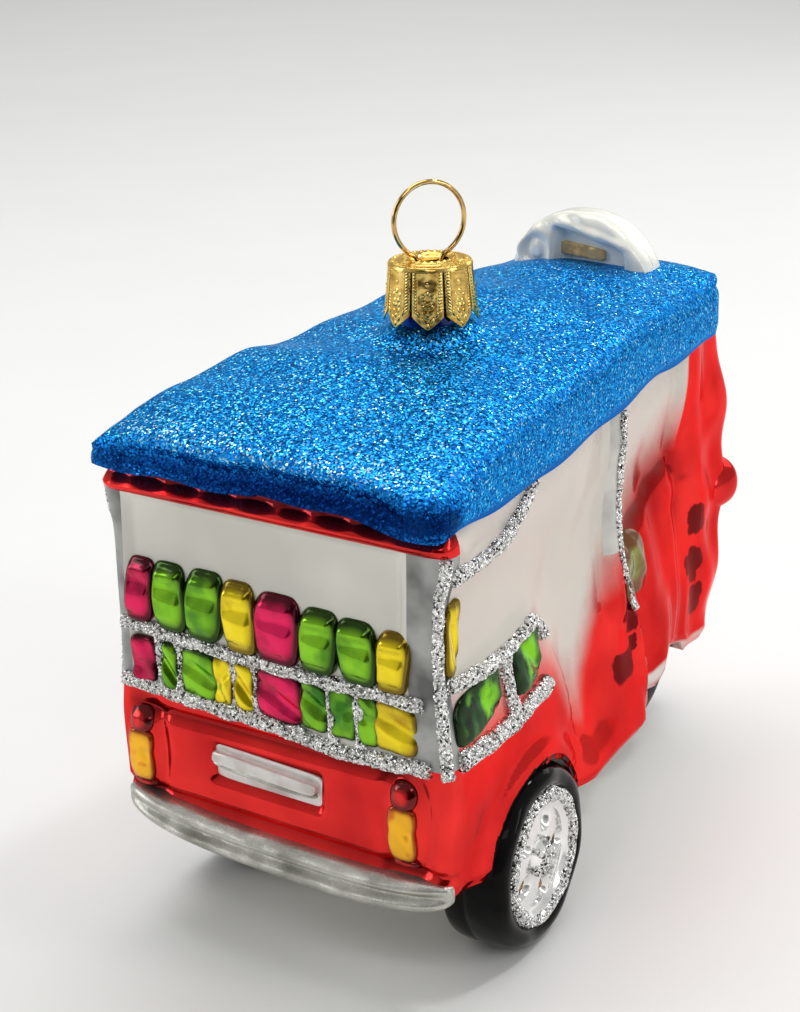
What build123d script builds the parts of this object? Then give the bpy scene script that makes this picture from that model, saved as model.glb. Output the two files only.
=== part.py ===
"""Hanging tree ornament in blown glass, moulded as a three-wheeled taxi with a blue glitter canopy.

The glass is one blown bubble.  It is written here as the moulded members and lacquered zones that
make it up, each a separate solid.  On its neck sits a pressed-brass crown cap with a wire hanger.
Frame: +Z up, +Y towards the vehicle's front, +X to its right; origin on the ground, mid-length.
All sizes are in millimetres.
"""
from build123d import *
from math import atan, degrees, sqrt
import os

# ---- driving dimensions -------------------------------------------------------------------------
GLASS = 1.2                 # wall of the blown glass with its lacquer
BUMPER_DEPTH = 3.0          # bumper behind the rear wall
REAR_HALF = 27.0            # half width of the cabin at its rear wall
FRONT_HALF = 17.6           # half width of the cabin at the front pillars
PILLAR_S = 92.0             # rear wall to the front pillars
FLOOR_Z = 16.6              # underside of the floor behind the driver's door
STEP_Z = 20.6               # underside below the driver's door
CHIN_Z = 18.4               # underside of the nose
RAIL_LOW_Z = 35.3           # seam between the red tub and the pearl cabin
EAVES_REAR_Z = 66.6         # underside of the canopy at the rear wall
EAVES_FRONT_Z = 69.2        # and at the front pillars
TYRE_R = 13.0
AXLE_S = 22.8               # rear wall to the rear axle
WHEEL_FACE_X = 27.8         # outer face of a rear tyre
WHEEL_INNER_X = 18.0
ARCH_R = 14.2               # opening of the rear wheel arch
LIP_R = 15.8                # outside of the lip round it
FRONT_TYRE_R = 12.5
FRONT_AXLE_S = 88.5
FRONT_TYRE_HALF = 6.5
NECK_S = 39.0               # rear wall to the axis of the neck
NECK_R = 4.6
CAP_R = 5.9
CAP_SKIRT_R = 6.6
CAP_TOP_Z = 89.4
CAP_FOOT_Z = 80.9
CAP_TURN = 58.0             # the slot and the loop are turned this far from the X axis
FOIL = 0.35                 # pressed brass of the cap
PETALS = 8
WIRE_R = 0.35
LOOP_R = 5.2                # centreline radius of the hanger's loop
LOOP_Z = 94.6

LENGTH = BUMPER_DEPTH + FRONT_AXLE_S + FRONT_TYRE_R     # rear bumper to the front of the front tyre
REAR_Y = BUMPER_DEPTH - LENGTH / 2
TAPER = (REAR_HALF - FRONT_HALF) / PILLAR_S
SIDE_TURN = degrees(atan(TAPER))
HUGE = 300.0


def y_at(s):
    """Row Y of a place s millimetres ahead of the rear wall."""
    return REAR_Y + s


def half_width(s):
    """Half width of the cabin, outside its glass, s ahead of the rear wall."""
    return REAR_HALF - TAPER * s


def eaves_z(s):
    """Height of the canopy's underside, where the walls stop."""
    return EAVES_REAR_Z + (EAVES_FRONT_Z - EAVES_REAR_Z) * s / PILLAR_S


def block(x0, x1, s0, s1, z0, z1):
    """A box between two corners, with s measured from the rear wall."""
    return Pos((x0 + x1) / 2, y_at((s0 + s1) / 2), (z0 + z1) / 2) * Box(x1 - x0, s1 - s0, z1 - z0)


def both_sides(shape):
    """A right-hand shape with its left-hand mirror image."""
    return Compound([*shape.solids(), *mirror(shape, Plane.YZ).solids()])


def side_cut(points, x0, x1):
    """A prism across the body from x0 to x1, with its outline given as (s, z) points."""
    outline = Plane.YZ * make_face(Polyline([(y_at(s), z) for s, z in points], close=True))
    return Pos(x0, 0, 0) * extrude(outline, amount=x1 - x0)


def x_cylinder(radius, s, z, x0, x1):
    """A cylinder along X."""
    return Pos((x0 + x1) / 2, y_at(s), z) * Rot(0, 90, 0) * Cylinder(radius, x1 - x0)


def merged(shapes):
    """Shapes fused into one, or kept as separate solids where they don't touch."""
    first, *rest = shapes
    for shape in rest:
        first = first + shape
    return first


# ---- cabin envelope -----------------------------------------------------------------------------
def plan_outline(inset):
    """Plan of the cabin: tapered sides, a bowed nose and rounded corners."""
    nose = 100.0
    tip, corner, back = y_at(nose), y_at(nose - 3.0), y_at(0)
    front_half = half_width(nose - 3.0)
    edge = [
        Line((-REAR_HALF, back), (REAR_HALF, back)),
        Line((REAR_HALF, back), (front_half, corner)),
        ThreePointArc((front_half, corner), (0, tip), (-front_half, corner)),
        Line((-front_half, corner), (-REAR_HALF, back)),
    ]
    face = make_face(edge)
    rear_corners = face.vertices().filter_by(lambda v: v.Y < 0)
    face = fillet(rear_corners, 2.2)
    front_corners = [v for v in face.vertices() if v.Y > corner - 0.1]
    face = fillet(front_corners, 4.0)
    return offset(face, -inset, kind=Kind.ARC) if inset else face


UNDERSIDE = [(0, FLOOR_Z), (57.5, FLOOR_Z), (61.0, STEP_Z), (82.0, STEP_Z), (85.0, CHIN_Z), (91.5, CHIN_Z)]


def side_outline(inset, top_extra):
    """Side view of the cabin: upright back, raked windscreen and a nose that tucks in below."""
    back, roof_back, roof_front = y_at(0), eaves_z(0), eaves_z(94.5)
    edge = [
        Polyline([(y_at(s), z) for s, z in reversed(UNDERSIDE)]),
        Line((back, FLOOR_Z), (back, roof_back)),
        Line((back, roof_back), (y_at(94.5), roof_front)),
        ThreePointArc((y_at(94.5), roof_front), (y_at(97.2), 60.0), (y_at(99.0), 50.0)),
        ThreePointArc((y_at(99.0), 50.0), (y_at(97.6), 32.0), (y_at(91.5), CHIN_Z)),
    ]
    face = make_face(edge)
    if inset:
        face = offset(face, -inset, kind=Kind.INTERSECTION)
        lift = Pos(0, top_extra)
        face = face + lift * face
    return Plane.YZ * face


def envelope(inset=0.0, top_extra=0.0):
    """The cabin as a solid, drawn in by inset all round; top_extra carries it up past the eaves."""
    plan = extrude(plan_outline(inset), amount=HUGE)
    profile = Pos(-HUGE / 2, 0, 0) * extrude(side_outline(inset, top_extra), amount=HUGE)
    return plan & profile


OUTSIDE = envelope()
INSIDE = envelope(GLASS, 4.0)
SHELL = OUTSIDE - INSIDE

CORNER_S = 2.6              # how far a rear corner post runs along the side
POST_LEFT_X = -23.9         # inner edges of the rear corner posts, hand-modelled a little off centre
POST_RIGHT_X = 21.4
FRONT_ZONE_S = 86.0         # from here forwards the front panels take over
SCREEN_HALF = 13.2          # half width of the windscreen
SCREEN_SILL_Z = 47.0

REAR_ZONE = block(-HUGE, HUGE, -5, GLASS, 0, HUGE)
CORNERS = block(POST_RIGHT_X, HUGE, -5, CORNER_S, RAIL_LOW_Z, 63.8) + \
    block(-HUGE, POST_LEFT_X, -5, CORNER_S, RAIL_LOW_Z, 63.8)
HEADER_ZONE = block(-HUGE, HUGE, -5, CORNER_S, 63.8, HUGE)
FRONT_ZONE = block(-HUGE, HUGE, FRONT_ZONE_S, HUGE, 0, HUGE)
FLOOR_ZONE = side_cut(
    [(-5, 0), (HUGE, 0), (HUGE, CHIN_Z + GLASS), (85.3, CHIN_Z + GLASS), (82.4, STEP_Z + GLASS),
     (60.5, STEP_Z + GLASS), (57.0, FLOOR_Z + GLASS), (-5, FLOOR_Z + GLASS)], -HUGE, HUGE)

PASSENGER_OPENING = [
    (CORNER_S, RAIL_LOW_Z), (28.6, RAIL_LOW_Z), (33.0, 31.6), (38.4, 28.2), (46.0, 33.0), (50.8, 38.0),
    (50.8, HUGE / 2), (CORNER_S, HUGE / 2),
]
DRIVER_OPENING = [(56.0, 44.4), (60.5, 44.8), (69.0, 48.6), (77.4, 52.2), (78.6, HUGE / 2), (56.0, HUGE / 2)]
MID_POST = [(50.8, 36.4), (56.0, 36.0), (56.0, HUGE / 2), (50.8, HUGE / 2)]
AXLE_Z = TYRE_R
WELL_R = ARCH_R + GLASS


def side_walls():
    """Pearl openings, red lower side and silver middle post of the right side, from the shell."""
    wall = SHELL & block(0, HUGE, -5, HUGE, 0, HUGE)
    wall = wall - REAR_ZONE - CORNERS - HEADER_ZONE - FLOOR_ZONE - FRONT_ZONE
    wall = wall - x_cylinder(WELL_R, AXLE_S, AXLE_Z, WHEEL_INNER_X - GLASS, HUGE)
    openings = side_cut(PASSENGER_OPENING, 0, HUGE) + side_cut(DRIVER_OPENING, 0, HUGE)
    post = side_cut(MID_POST, 0, HUGE)
    return (wall & openings) - post, wall - openings - post, wall & post


# ---- rear of the cabin --------------------------------------------------------------------------
REAR_FACE = Plane(origin=(0, REAR_Y, 0), x_dir=(1, 0, 0), z_dir=(0, -1, 0))
BEAD = 1.7                  # width of a line of glue and glitter
BEAD_H = 0.7
ROLLS = [
    # left edge, right edge, foot, top, colour
    (-23.6, -18.9, 46.9, 55.1, "magenta"),
    (-18.9, -13.4, 46.7, 55.2, "green"),
    (-13.4, -7.4, 46.5, 55.2, "green"),
    (-7.4, -1.9, 46.3, 54.8, "yellow"),
    (-1.9, 5.2, 46.0, 54.3, "magenta"),
    (5.2, 11.1, 45.9, 53.7, "green"),
    (11.1, 17.0, 45.9, 53.4, "green"),
    (17.0, 21.9, 45.9, 53.2, "yellow"),
]
CUSHIONS = [
    # left edge, right edge, colour, of the row between the rails
    (-23.4, -19.8, "magenta"), (-17.9, -16.3, "green"), (-14.5, -9.3, "green"), (-9.2, -7.0, "yellow"),
    (-5.4, -3.6, "yellow"), (-1.9, 4.9, "magenta"), (5.1, 8.4, "green"), (10.2, 12.8, "green"),
    (14.5, 16.4, "green"), (16.5, 22.4, "yellow"),
]
UPRIGHTS_X = [-18.8, -15.5, -6.2, -2.8, 9.3, 13.6]
UPPER_RAIL = [(-24.6, 45.2), (-13.4, 44.8), (-2.2, 44.4), (8.4, 44.1), (24.2, 44.3)]
LOWER_RAIL = [(-25.0, 36.7), (-17.0, 36.3), (-8.4, 35.9), (1.0, 35.5), (10.5, 35.0), (24.2, 35.2)]


def bead(plane, points, width=BEAD, height=BEAD_H):
    """A flat-backed line of glitter along points drawn on a face of the body."""
    path = Polyline(points) if len(points) > 2 else Line(*points)
    return extrude(plane * trace(path, line_width=width), amount=height)


def pillow(plane, u0, u1, v0, v1, swell, soften):
    """A padded roll moulded in relief: a soft-edged block cut off flat where it meets the wall."""
    full = plane * Pos((u0 + u1) / 2, (v0 + v1) / 2, 0) * Box(u1 - u0, v1 - v0, 2 * swell)
    full = fillet(full.edges(), soften)
    return full & (plane * Pos((u0 + u1) / 2, (v0 + v1) / 2, swell) * Box(60, 60, 2 * swell))


def rear_rolls(colour):
    """Seat-back rolls of one colour above the rail, with the cushion ends that show below it."""
    upper = [pillow(REAR_FACE, x0 + 0.12, x1 - 0.12, z0, z1, 1.9, 1.3)
             for x0, x1, z0, z1, c in ROLLS if c == colour]
    lower = [pillow(REAR_FACE, x0, x1, 37.4, 43.0, 1.0, 0.6) for x0, x1, c in CUSHIONS if c == colour]
    return upper, lower


def rear_rail():
    """Two rails of glitter with three pairs of uprights between them."""
    rails = [bead(REAR_FACE, rail, width=2.0) for rail in (UPPER_RAIL, LOWER_RAIL)]
    uprights = [bead(REAR_FACE, [(x, 36.0), (x, 44.4)], width=1.3) for x in UPRIGHTS_X]
    return merged(rails + uprights)


def rear_header():
    """Red rim under the canopy, scalloped along its top like the fringe of a hood."""
    rim = SHELL & (HEADER_ZONE - block(-HUGE, HUGE, CORNER_S, HUGE, 0, HUGE))
    lip = block(-26.4, 26.4, -0.9, 0, 63.9, 65.5)
    scallops = [block(x, x + 4.6, -0.6, 0, 65.5, 66.5) for x in [-25.5 + 5.8 * n for n in range(9)]]
    return merged([rim, lip, *scallops])


PLATE_X = -1.6
PLATE_W = 17.8
PLATE_H = 4.8
PLATE_Z = 27.7
LAMPS_X = (-22.6, 20.3)
LAMP_W = 5.2


def rear_panel():
    """Red tail of the tub with the plate's pocket and the crease pressed above it."""
    panel = (SHELL & REAR_ZONE) - block(-HUGE, HUGE, -5, 5, RAIL_LOW_Z, HUGE) - FLOOR_ZONE
    panel = panel - (REAR_FACE * Pos(PLATE_X, PLATE_Z, 0) * Box(PLATE_W, PLATE_H, 1.2))
    crease = bead(REAR_FACE, [(-19.4, 33.4), (17.2, 33.1)], width=1.0, height=0.5)
    return panel + crease


def tail_lamps():
    """Red bulb over a tall amber glass on each side; returns both colours."""
    red, amber = [], []
    for centre in LAMPS_X:
        lamp = pillow(REAR_FACE, centre - LAMP_W / 2, centre + LAMP_W / 2, 21.6, 33.0, 1.1, 1.0)
        top = block(-HUGE, HUGE, -5, 5, 29.4, HUGE)
        red.append(lamp & top)
        amber.append(lamp - top)
    return red, amber


def number_plate():
    """Blank silver plate sunk in its pocket, with the lamp bar along its top."""
    plate = REAR_FACE * Pos(PLATE_X, PLATE_Z, -0.35) * Box(PLATE_W, PLATE_H, 0.5)
    bar = REAR_FACE * Pos(PLATE_X, PLATE_Z + 0.6, 0.25) * Box(PLATE_W - 0.8, 1.3, 0.7)
    return plate + fillet(bar.edges().filter_by(Axis.X), 0.3)


def rear_bumper():
    """Thick silver roll across the tail, its ends rounded in plan."""
    roll = block(-26.2, 26.8, -BUMPER_DEPTH, 0, 14.4, 20.3)
    roll = fillet([e for e in roll.edges().filter_by(Axis.Z) if e.center().Y < y_at(-1)], 2.4)
    outer = [e for e in roll.edges() if e.center().Y < y_at(-0.1) and abs(e.center().Z - 17.35) > 1]
    return fillet(outer, 2.2)


# ---- sides --------------------------------------------------------------------------------------
RIGHT_FACE = Plane(origin=(REAR_HALF, REAR_Y, 0), x_dir=(-TAPER, 1, 0), z_dir=(1, TAPER, 0))
SLANT = sqrt(1 + TAPER * TAPER)


def on_side(points):
    """(s, z) points turned into places on the slanted side face."""
    return [(s * SLANT, z) for s, z in points]


def corner_bead():
    """Glitter down the right rear corner, following its round."""
    foot = Pos(REAR_HALF - 0.7, y_at(0.7), 35.9)
    bar = foot * Cylinder(1.15, 27.9, align=(Align.CENTER, Align.CENTER, Align.MIN))
    return bar - OUTSIDE


def side_glitter():
    """Glitter lines of the right side: quarter arc, arm rail with its stile, and middle post."""
    quarter = bead(RIGHT_FACE, on_side([(2.4, 60.6), (12.2, 59.8), (18.9, 60.4), (22.8, 62.4), (24.6, 66.0)]))
    arm = bead(RIGHT_FACE, on_side([(2.6, 45.9), (14.7, 45.2), (25.6, 45.4), (29.0, 42.2), (28.0, 35.9)]))
    foot = bead(RIGHT_FACE, on_side([(2.6, 37.0), (20.4, 35.6), (28.4, 35.7)]), width=2.3)
    stile = bead(RIGHT_FACE, on_side([(16.2, 44.9), (17.4, 36.0)]))
    post = bead(RIGHT_FACE, on_side([(54.6, 66.4), (54.3, 46.0), (56.2, 36.6)]), width=1.3)
    return merged([arm, foot, stile]), quarter, post


def side_rolls():
    """Right side: green pads behind the arm rail, and the yellow end of the seat-back roll."""
    green = [
        pillow(RIGHT_FACE, 3.4 * SLANT, 15.0 * SLANT, 38.4, 44.1, 1.0, 0.8),
        pillow(RIGHT_FACE, 18.6 * SLANT, 26.4 * SLANT, 37.0, 43.9, 1.0, 0.8),
    ]
    yellow = pillow(RIGHT_FACE, 2.4 * SLANT, 4.8 * SLANT, 47.2, 56.8, 1.0, 0.8)
    return green, yellow


def wheel_arch():
    """Red lip that flares out round the right rear wheel."""
    ring = x_cylinder(LIP_R, AXLE_S, AXLE_Z, 20, WHEEL_FACE_X - 0.5)
    ring = ring - x_cylinder(ARCH_R, AXLE_S, AXLE_Z, 15, 30)
    return (ring & block(0, HUGE, -5, HUGE, 14.6, HUGE)) - OUTSIDE - block(0, HUGE, -5, 0, 0, HUGE)


def wheel_well():
    """Black tunnel that closes the glass behind the right rear wheel."""
    well = x_cylinder(WELL_R, AXLE_S, AXLE_Z, WHEEL_INNER_X - GLASS, HUGE / 2)
    well = well - x_cylinder(ARCH_R, AXLE_S, AXLE_Z, WHEEL_INNER_X, HUGE)
    well = (well & OUTSIDE) - REAR_ZONE
    return well


def sill_flare():
    """Red side below the passenger opening, which flares out towards the ground on the right."""
    foot = FLOOR_Z + 0.2
    section = make_face(Polyline([(0, 31.0), (1.6, 24.0), (3.2, 19.0), (3.2, foot), (0, foot)], close=True))
    front_end = Plane(origin=RIGHT_FACE.from_local_coords((59.2 * SLANT, 0, 0)), x_dir=RIGHT_FACE.z_dir,
                      z_dir=-RIGHT_FACE.x_dir)
    flare = extrude(front_end * section, amount=19.6 * SLANT)
    return flare - OUTSIDE


# ---- front --------------------------------------------------------------------------------------
LAMP_CENTRE = (18.0, 90.2, 44.4)
LAMP_R = 4.9
LENS_S = 92.6


def front_shell():
    """Everything of the shell ahead of the doors, without the floor."""
    return (SHELL & FRONT_ZONE) - FLOOR_ZONE


def screen_cut():
    """Prism that marks the windscreen out of the front panels."""
    return block(-SCREEN_HALF, SCREEN_HALF, 89, HUGE, SCREEN_SILL_Z, 67.0)


def windscreen():
    """Pearl windscreen, raked between the front pillars."""
    return front_shell() & screen_cut()


def front_cowl():
    """Red nose below the windscreen's sill."""
    return front_shell() & block(-HUGE, HUGE, 0, HUGE, 0, SCREEN_SILL_Z)


def front_pillars():
    """Red frame round the windscreen: both pillars and the header between them."""
    return front_shell() - block(-HUGE, HUGE, 0, HUGE, 0, SCREEN_SILL_Z) - screen_cut()


def headlamps():
    """Round lamps half sunk in the front corners; returns housings and lenses."""
    x, s, z = LAMP_CENTRE
    ball = (Pos(x, y_at(s), z) * Sphere(LAMP_R)) - OUTSIDE
    front = block(0, HUGE, LENS_S, HUGE, 0, HUGE)
    return both_sides(ball - front), both_sides(ball & front)


def over_nose(solid, depth):
    """The part of a solid that stands depth proud of the nose."""
    return (solid & Pos(0, depth, 0) * OUTSIDE) - OUTSIDE


def grille():
    """Three silver bars across the nose."""
    bars = [block(-w, w, 90, 110, z, z + 1.2) for w, z in ((6.4, 30.2), (6.0, 27.4), (5.6, 24.6))]
    return [over_nose(bar, 0.8) for bar in bars]


def indicators():
    """Small amber lamps either side of the grille."""
    lamp = Pos(11.6, y_at(98), 27.8) * Rot(90, 0, 0) * Cylinder(1.9, 20)
    return both_sides(over_nose(lamp, 1.1))


def screen_trim():
    """Glitter line round the windscreen."""
    outer = block(-SCREEN_HALF - 1.5, SCREEN_HALF + 1.5, 90, 110, SCREEN_SILL_Z - 1.5, 67.2)
    inner = block(-SCREEN_HALF, SCREEN_HALF, 80, 120, SCREEN_SILL_Z, 65.6)
    return over_nose(outer - inner, 0.7)


# ---- floor and seat -----------------------------------------------------------------------------
def floor_pan():
    """Bare glass underside, cut out round the wheel wells."""
    pan = OUTSIDE & FLOOR_ZONE
    for side in (-1, 1):
        x0, x1 = sorted((side * (WHEEL_INNER_X - GLASS), side * HUGE))
        pan = pan - x_cylinder(WELL_R, AXLE_S, AXLE_Z, x0, x1)
    return pan


def driver_seat():
    """Rounded green lump of the driver's seat, moulded in the right side ahead of the post."""
    return pillow(RIGHT_FACE, 57.6 * SLANT, 63.2 * SLANT, 37.2, 44.2, 0.9, 0.8)


# ---- wheels -------------------------------------------------------------------------------------
def rear_tyre():
    """Right rear tyre: a hollow lobe with rounded shoulders and a window for the hub."""
    outer = x_cylinder(TYRE_R, AXLE_S, AXLE_Z, WHEEL_INNER_X, WHEEL_FACE_X)
    outer = fillet(outer.edges().filter_by(GeomType.CIRCLE).sort_by(Axis.X)[-1], 2.6)
    bore = x_cylinder(TYRE_R - GLASS, AXLE_S, AXLE_Z, WHEEL_INNER_X - 1, WHEEL_FACE_X - GLASS)
    bore = fillet(bore.edges().filter_by(GeomType.CIRCLE).sort_by(Axis.X)[-1], 1.4)
    return outer - bore - x_cylinder(9.2, AXLE_S, AXLE_Z, 20, 30)


def rear_hub():
    """Right rear hub: a mirror-bright dish with five spokes and a boss."""
    back, face = WHEEL_FACE_X - 2 * GLASS, WHEEL_FACE_X - GLASS
    dish = x_cylinder(10.2, AXLE_S, AXLE_Z, back, face)
    rim = x_cylinder(9.0, AXLE_S, AXLE_Z, face, face + 0.9)
    rim = rim - x_cylinder(7.7, AXLE_S, AXLE_Z, face, face + 0.9)
    boss = x_cylinder(2.5, AXLE_S, AXLE_Z, face, face + 1.1)
    spokes = []
    for n in range(5):
        spoke = Pos(face + 0.35, 0, 5.0) * Box(0.7, 2.6, 6.6)
        spokes.append(Pos(0, y_at(AXLE_S), AXLE_Z) * Rot(72 * n, 0, 0) * spoke)
    return merged([dish, rim, boss, *spokes])


def hub_glitter():
    """Ring of glitter where the right rear tyre meets its hub."""
    ring = x_cylinder(10.3, AXLE_S, AXLE_Z, WHEEL_FACE_X, WHEEL_FACE_X + 0.6)
    return ring - x_cylinder(9.2, AXLE_S, AXLE_Z, WHEEL_FACE_X - 1, WHEEL_FACE_X + 1)


def front_tyre():
    """Front tyre, a hollow lobe that runs up into the underside of the nose."""
    half = FRONT_TYRE_HALF
    outer = x_cylinder(FRONT_TYRE_R, FRONT_AXLE_S, FRONT_TYRE_R, -half, half)
    outer = fillet(outer.edges().filter_by(GeomType.CIRCLE), 2.4)
    bore = x_cylinder(FRONT_TYRE_R - GLASS, FRONT_AXLE_S, FRONT_TYRE_R, GLASS - half, half - GLASS)
    bore = fillet(bore.edges().filter_by(GeomType.CIRCLE), 1.3)
    return outer - bore - OUTSIDE


def front_hubs():
    """Small silver discs on both faces of the front tyre."""
    disc = x_cylinder(6.6, FRONT_AXLE_S, FRONT_TYRE_R, FRONT_TYRE_HALF, FRONT_TYRE_HALF + 0.8)
    return both_sides(disc - OUTSIDE)


# ---- canopy, sign and neck ----------------------------------------------------------------------
CANOPY_STATIONS = [
    # s, extra half width, edge height, crown height
    (-1.6, 0.9, 71.0, 73.8),
    (6.0, 1.3, 72.6, 75.4),
    (14.0, 1.4, 74.0, 76.9),
    (26.0, 1.5, 75.3, 78.4),
    (36.0, 1.5, 75.1, 78.7),
    (46.0, 1.5, 75.8, 79.3),
    (60.0, 1.6, 76.8, 80.1),
    (74.0, 1.6, 76.4, 80.1),
    (88.0, 1.2, 76.4, 79.8),
    (95.4, 0.8, 75.4, 77.9),
]


def canopy_plan():
    """Plan of the canopy with its round corners, tall enough to trim the loft."""
    rear, front = -1.6, 95.4
    outline = make_face(Polyline([
        (half_width(rear) + 1.2, y_at(rear)), (half_width(front) + 1.4, y_at(front)),
        (-half_width(front) - 1.4, y_at(front)), (-half_width(rear) - 1.2, y_at(rear)),
    ], close=True))
    outline = fillet([v for v in outline.vertices() if v.Y > 0], 6.5)
    outline = fillet([v for v in outline.vertices() if v.Y < y_at(0)], 2.6)
    return extrude(outline, amount=HUGE)


def canopy_section(s, spread, edge_z, crown_z, inset):
    """One cross-section of the canopy; an inset section is open below, to hollow it."""
    half = half_width(s) + spread - inset
    foot = eaves_z(s) if not inset else eaves_z(s) - 1.0
    edge_z, crown_z = edge_z - inset, crown_z - inset
    outline = [
        Line((-half, foot), (half, foot)),
        Line((half, foot), (half, edge_z)),
        ThreePointArc((half, edge_z), (0, crown_z), (-half, edge_z)),
        Line((-half, edge_z), (-half, foot)),
    ]
    plane = Plane(origin=(0, y_at(s), 0), x_dir=(1, 0, 0), z_dir=(0, -1, 0))
    return plane * make_face(outline)


def canopy():
    """Blue canopy: a crowned, rippled lid with soft edges, hollow, swelling up to the neck."""
    body = loft([canopy_section(*station, 0) for station in CANOPY_STATIONS]) & canopy_plan()
    upper = [e for e in body.edges() if e.center().Z > 70.8]
    body = fillet(upper, 2.2)
    swell_foot, swell_top = 76.0, CAP_FOOT_Z - 0.3
    swell_face = Plane.XZ * make_face([
        Line((0, swell_foot), (9.5, swell_foot)),
        ThreePointArc((9.5, swell_foot), (6.2, 78.6), (NECK_R, swell_top)),
        Line((NECK_R, swell_top), (0, swell_top)),
        Line((0, swell_top), (0, swell_foot)),
    ])
    body = body + Pos(0, y_at(NECK_S), 0) * revolve(swell_face, Axis.Z)
    inner = [canopy_section(s, spread - 1.0, edge, crown, 2 * GLASS)
             for s, spread, edge, crown in CANOPY_STATIONS]
    hollow = loft(inner) & block(-HUGE, HUGE, GLASS, 93.0, 0, HUGE)
    bore = Pos(0, y_at(NECK_S), 78) * Cylinder(NECK_R - 1.0, 30)
    return body - hollow - bore


def neck():
    """Glass neck that the cap pushes over, with a bead at its rim."""
    foot, rim = CAP_FOOT_Z - 0.3, CAP_TOP_Z - FOIL - 0.5
    tube = Cylinder(NECK_R, rim - foot, align=(Align.CENTER, Align.CENTER, Align.MIN))
    bore = Cylinder(NECK_R - 1.0, HUGE)
    return Pos(0, y_at(NECK_S), foot) * (tube - bore)


SIGN_S = 86.0
SIGN_OUTLINE = [
    (-13.8, 78.4), (-12.8, 81.6), (-9.8, 84.6), (-2.6, 87.3), (5.2, 85.3), (8.7, 82.4), (9.9, 78.4),
]


def sign():
    """White roof sign: a humped box with a pocket in its rear face; returns it and its panel."""
    left, right = SIGN_OUTLINE[0], SIGN_OUTLINE[-1]
    outline = make_face([
        Spline(SIGN_OUTLINE),
        Polyline([right, (right[0], 75.4), (left[0], 75.4), left]),
    ])
    face = Plane(origin=(0, y_at(SIGN_S + 3.6), 0), x_dir=(1, 0, 0), z_dir=(0, -1, 0))
    hump = extrude(face * outline, amount=7.2)
    hump = fillet([e for e in hump.edges() if e.center().Z > 84], 2.2)
    pocket = block(-6.2, 5.6, SIGN_S - 5, SIGN_S - 2.2, 80.0, 83.6)
    panel = block(-6.0, 2.4, SIGN_S - 2.2 - 0.5, SIGN_S - 2.2, 80.1, 81.9)
    return hump - pocket, panel


# ---- cap and hanger -----------------------------------------------------------------------------
def cap():
    """Pressed crown cap: flat rim, raised middle with a slot, and eight pointed petals."""
    under = CAP_TOP_Z - FOIL
    section = make_face(Polyline([
        (0, CAP_TOP_Z - 0.3), (2.4, CAP_TOP_Z - 0.25), (3.4, CAP_TOP_Z + 0.35), (4.6, CAP_TOP_Z + 0.2),
        (CAP_R - 0.3, CAP_TOP_Z), (CAP_R, CAP_TOP_Z - 0.3), (CAP_SKIRT_R, CAP_FOOT_Z),
        (CAP_SKIRT_R - FOIL, CAP_FOOT_Z), (CAP_R - FOIL, under - 0.3), (CAP_R - 0.6, under),
        (4.6, under + 0.2), (3.5, under + 0.35), (2.4, under - 0.25),
        (0, under - 0.3),
    ], close=True))
    shell = revolve(Plane.XZ * section, Axis.Z)
    step = 360.0 / PETALS
    notch = extrude(Plane.XZ * make_face(Polyline(
        [(-1.9, CAP_FOOT_Z - 1), (1.9, CAP_FOOT_Z - 1), (0.17, CAP_FOOT_Z + 1.9), (0.17, CAP_TOP_Z - 0.9),
         (-0.17, CAP_TOP_Z - 0.9), (-0.17, CAP_FOOT_Z + 1.9)], close=True)), amount=10)
    for n in range(PETALS):
        shell = shell - Rot(0, 0, step * n + 6.6) * notch
    slot = Rot(0, 0, CAP_TURN) * Pos(0, 0, CAP_TOP_Z) * Box(4.9, 1.2, 4)
    return Pos(0, y_at(NECK_S), 0) * (shell - slot)


def hanger():
    """Brass wire: an open loop above the cap, its ends passing the slot and springing apart."""
    gap = 0.9
    drop = sqrt(LOOP_R ** 2 - gap ** 2)
    entry = LOOP_Z - drop
    right_end, left_end = (gap, entry), (-gap, entry)
    knee, toe = 85.2, 77.4
    path = [
        Line((2.7, toe), (gap, knee)),
        Line((gap, knee), right_end),
        ThreePointArc(right_end, (0, LOOP_Z + LOOP_R), left_end),
        Line(left_end, (-gap, knee)),
        Line((-gap, knee), (-2.7, toe)),
    ]
    pieces = []
    for edge in path:
        run = Plane.XZ * edge
        end = Plane(origin=run @ 0, z_dir=run % 0)
        pieces.append(sweep(end * Circle(WIRE_R), path=run))
    joints = [Plane.XZ * Pos(*p) * Sphere(WIRE_R) for p in ((gap, knee), right_end, left_end, (-gap, knee))]
    return Pos(0, y_at(NECK_S), 0) * Rot(0, 0, CAP_TURN) * merged(pieces + joints)


# ---- write every node ---------------------------------------------------------------------------
def pair(name, shapes, made):
    """Store a right-hand piece with its mirror image as one node."""
    made[name] = Compound([solid for shape in shapes for solid in both_sides(shape).solids()])


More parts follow.
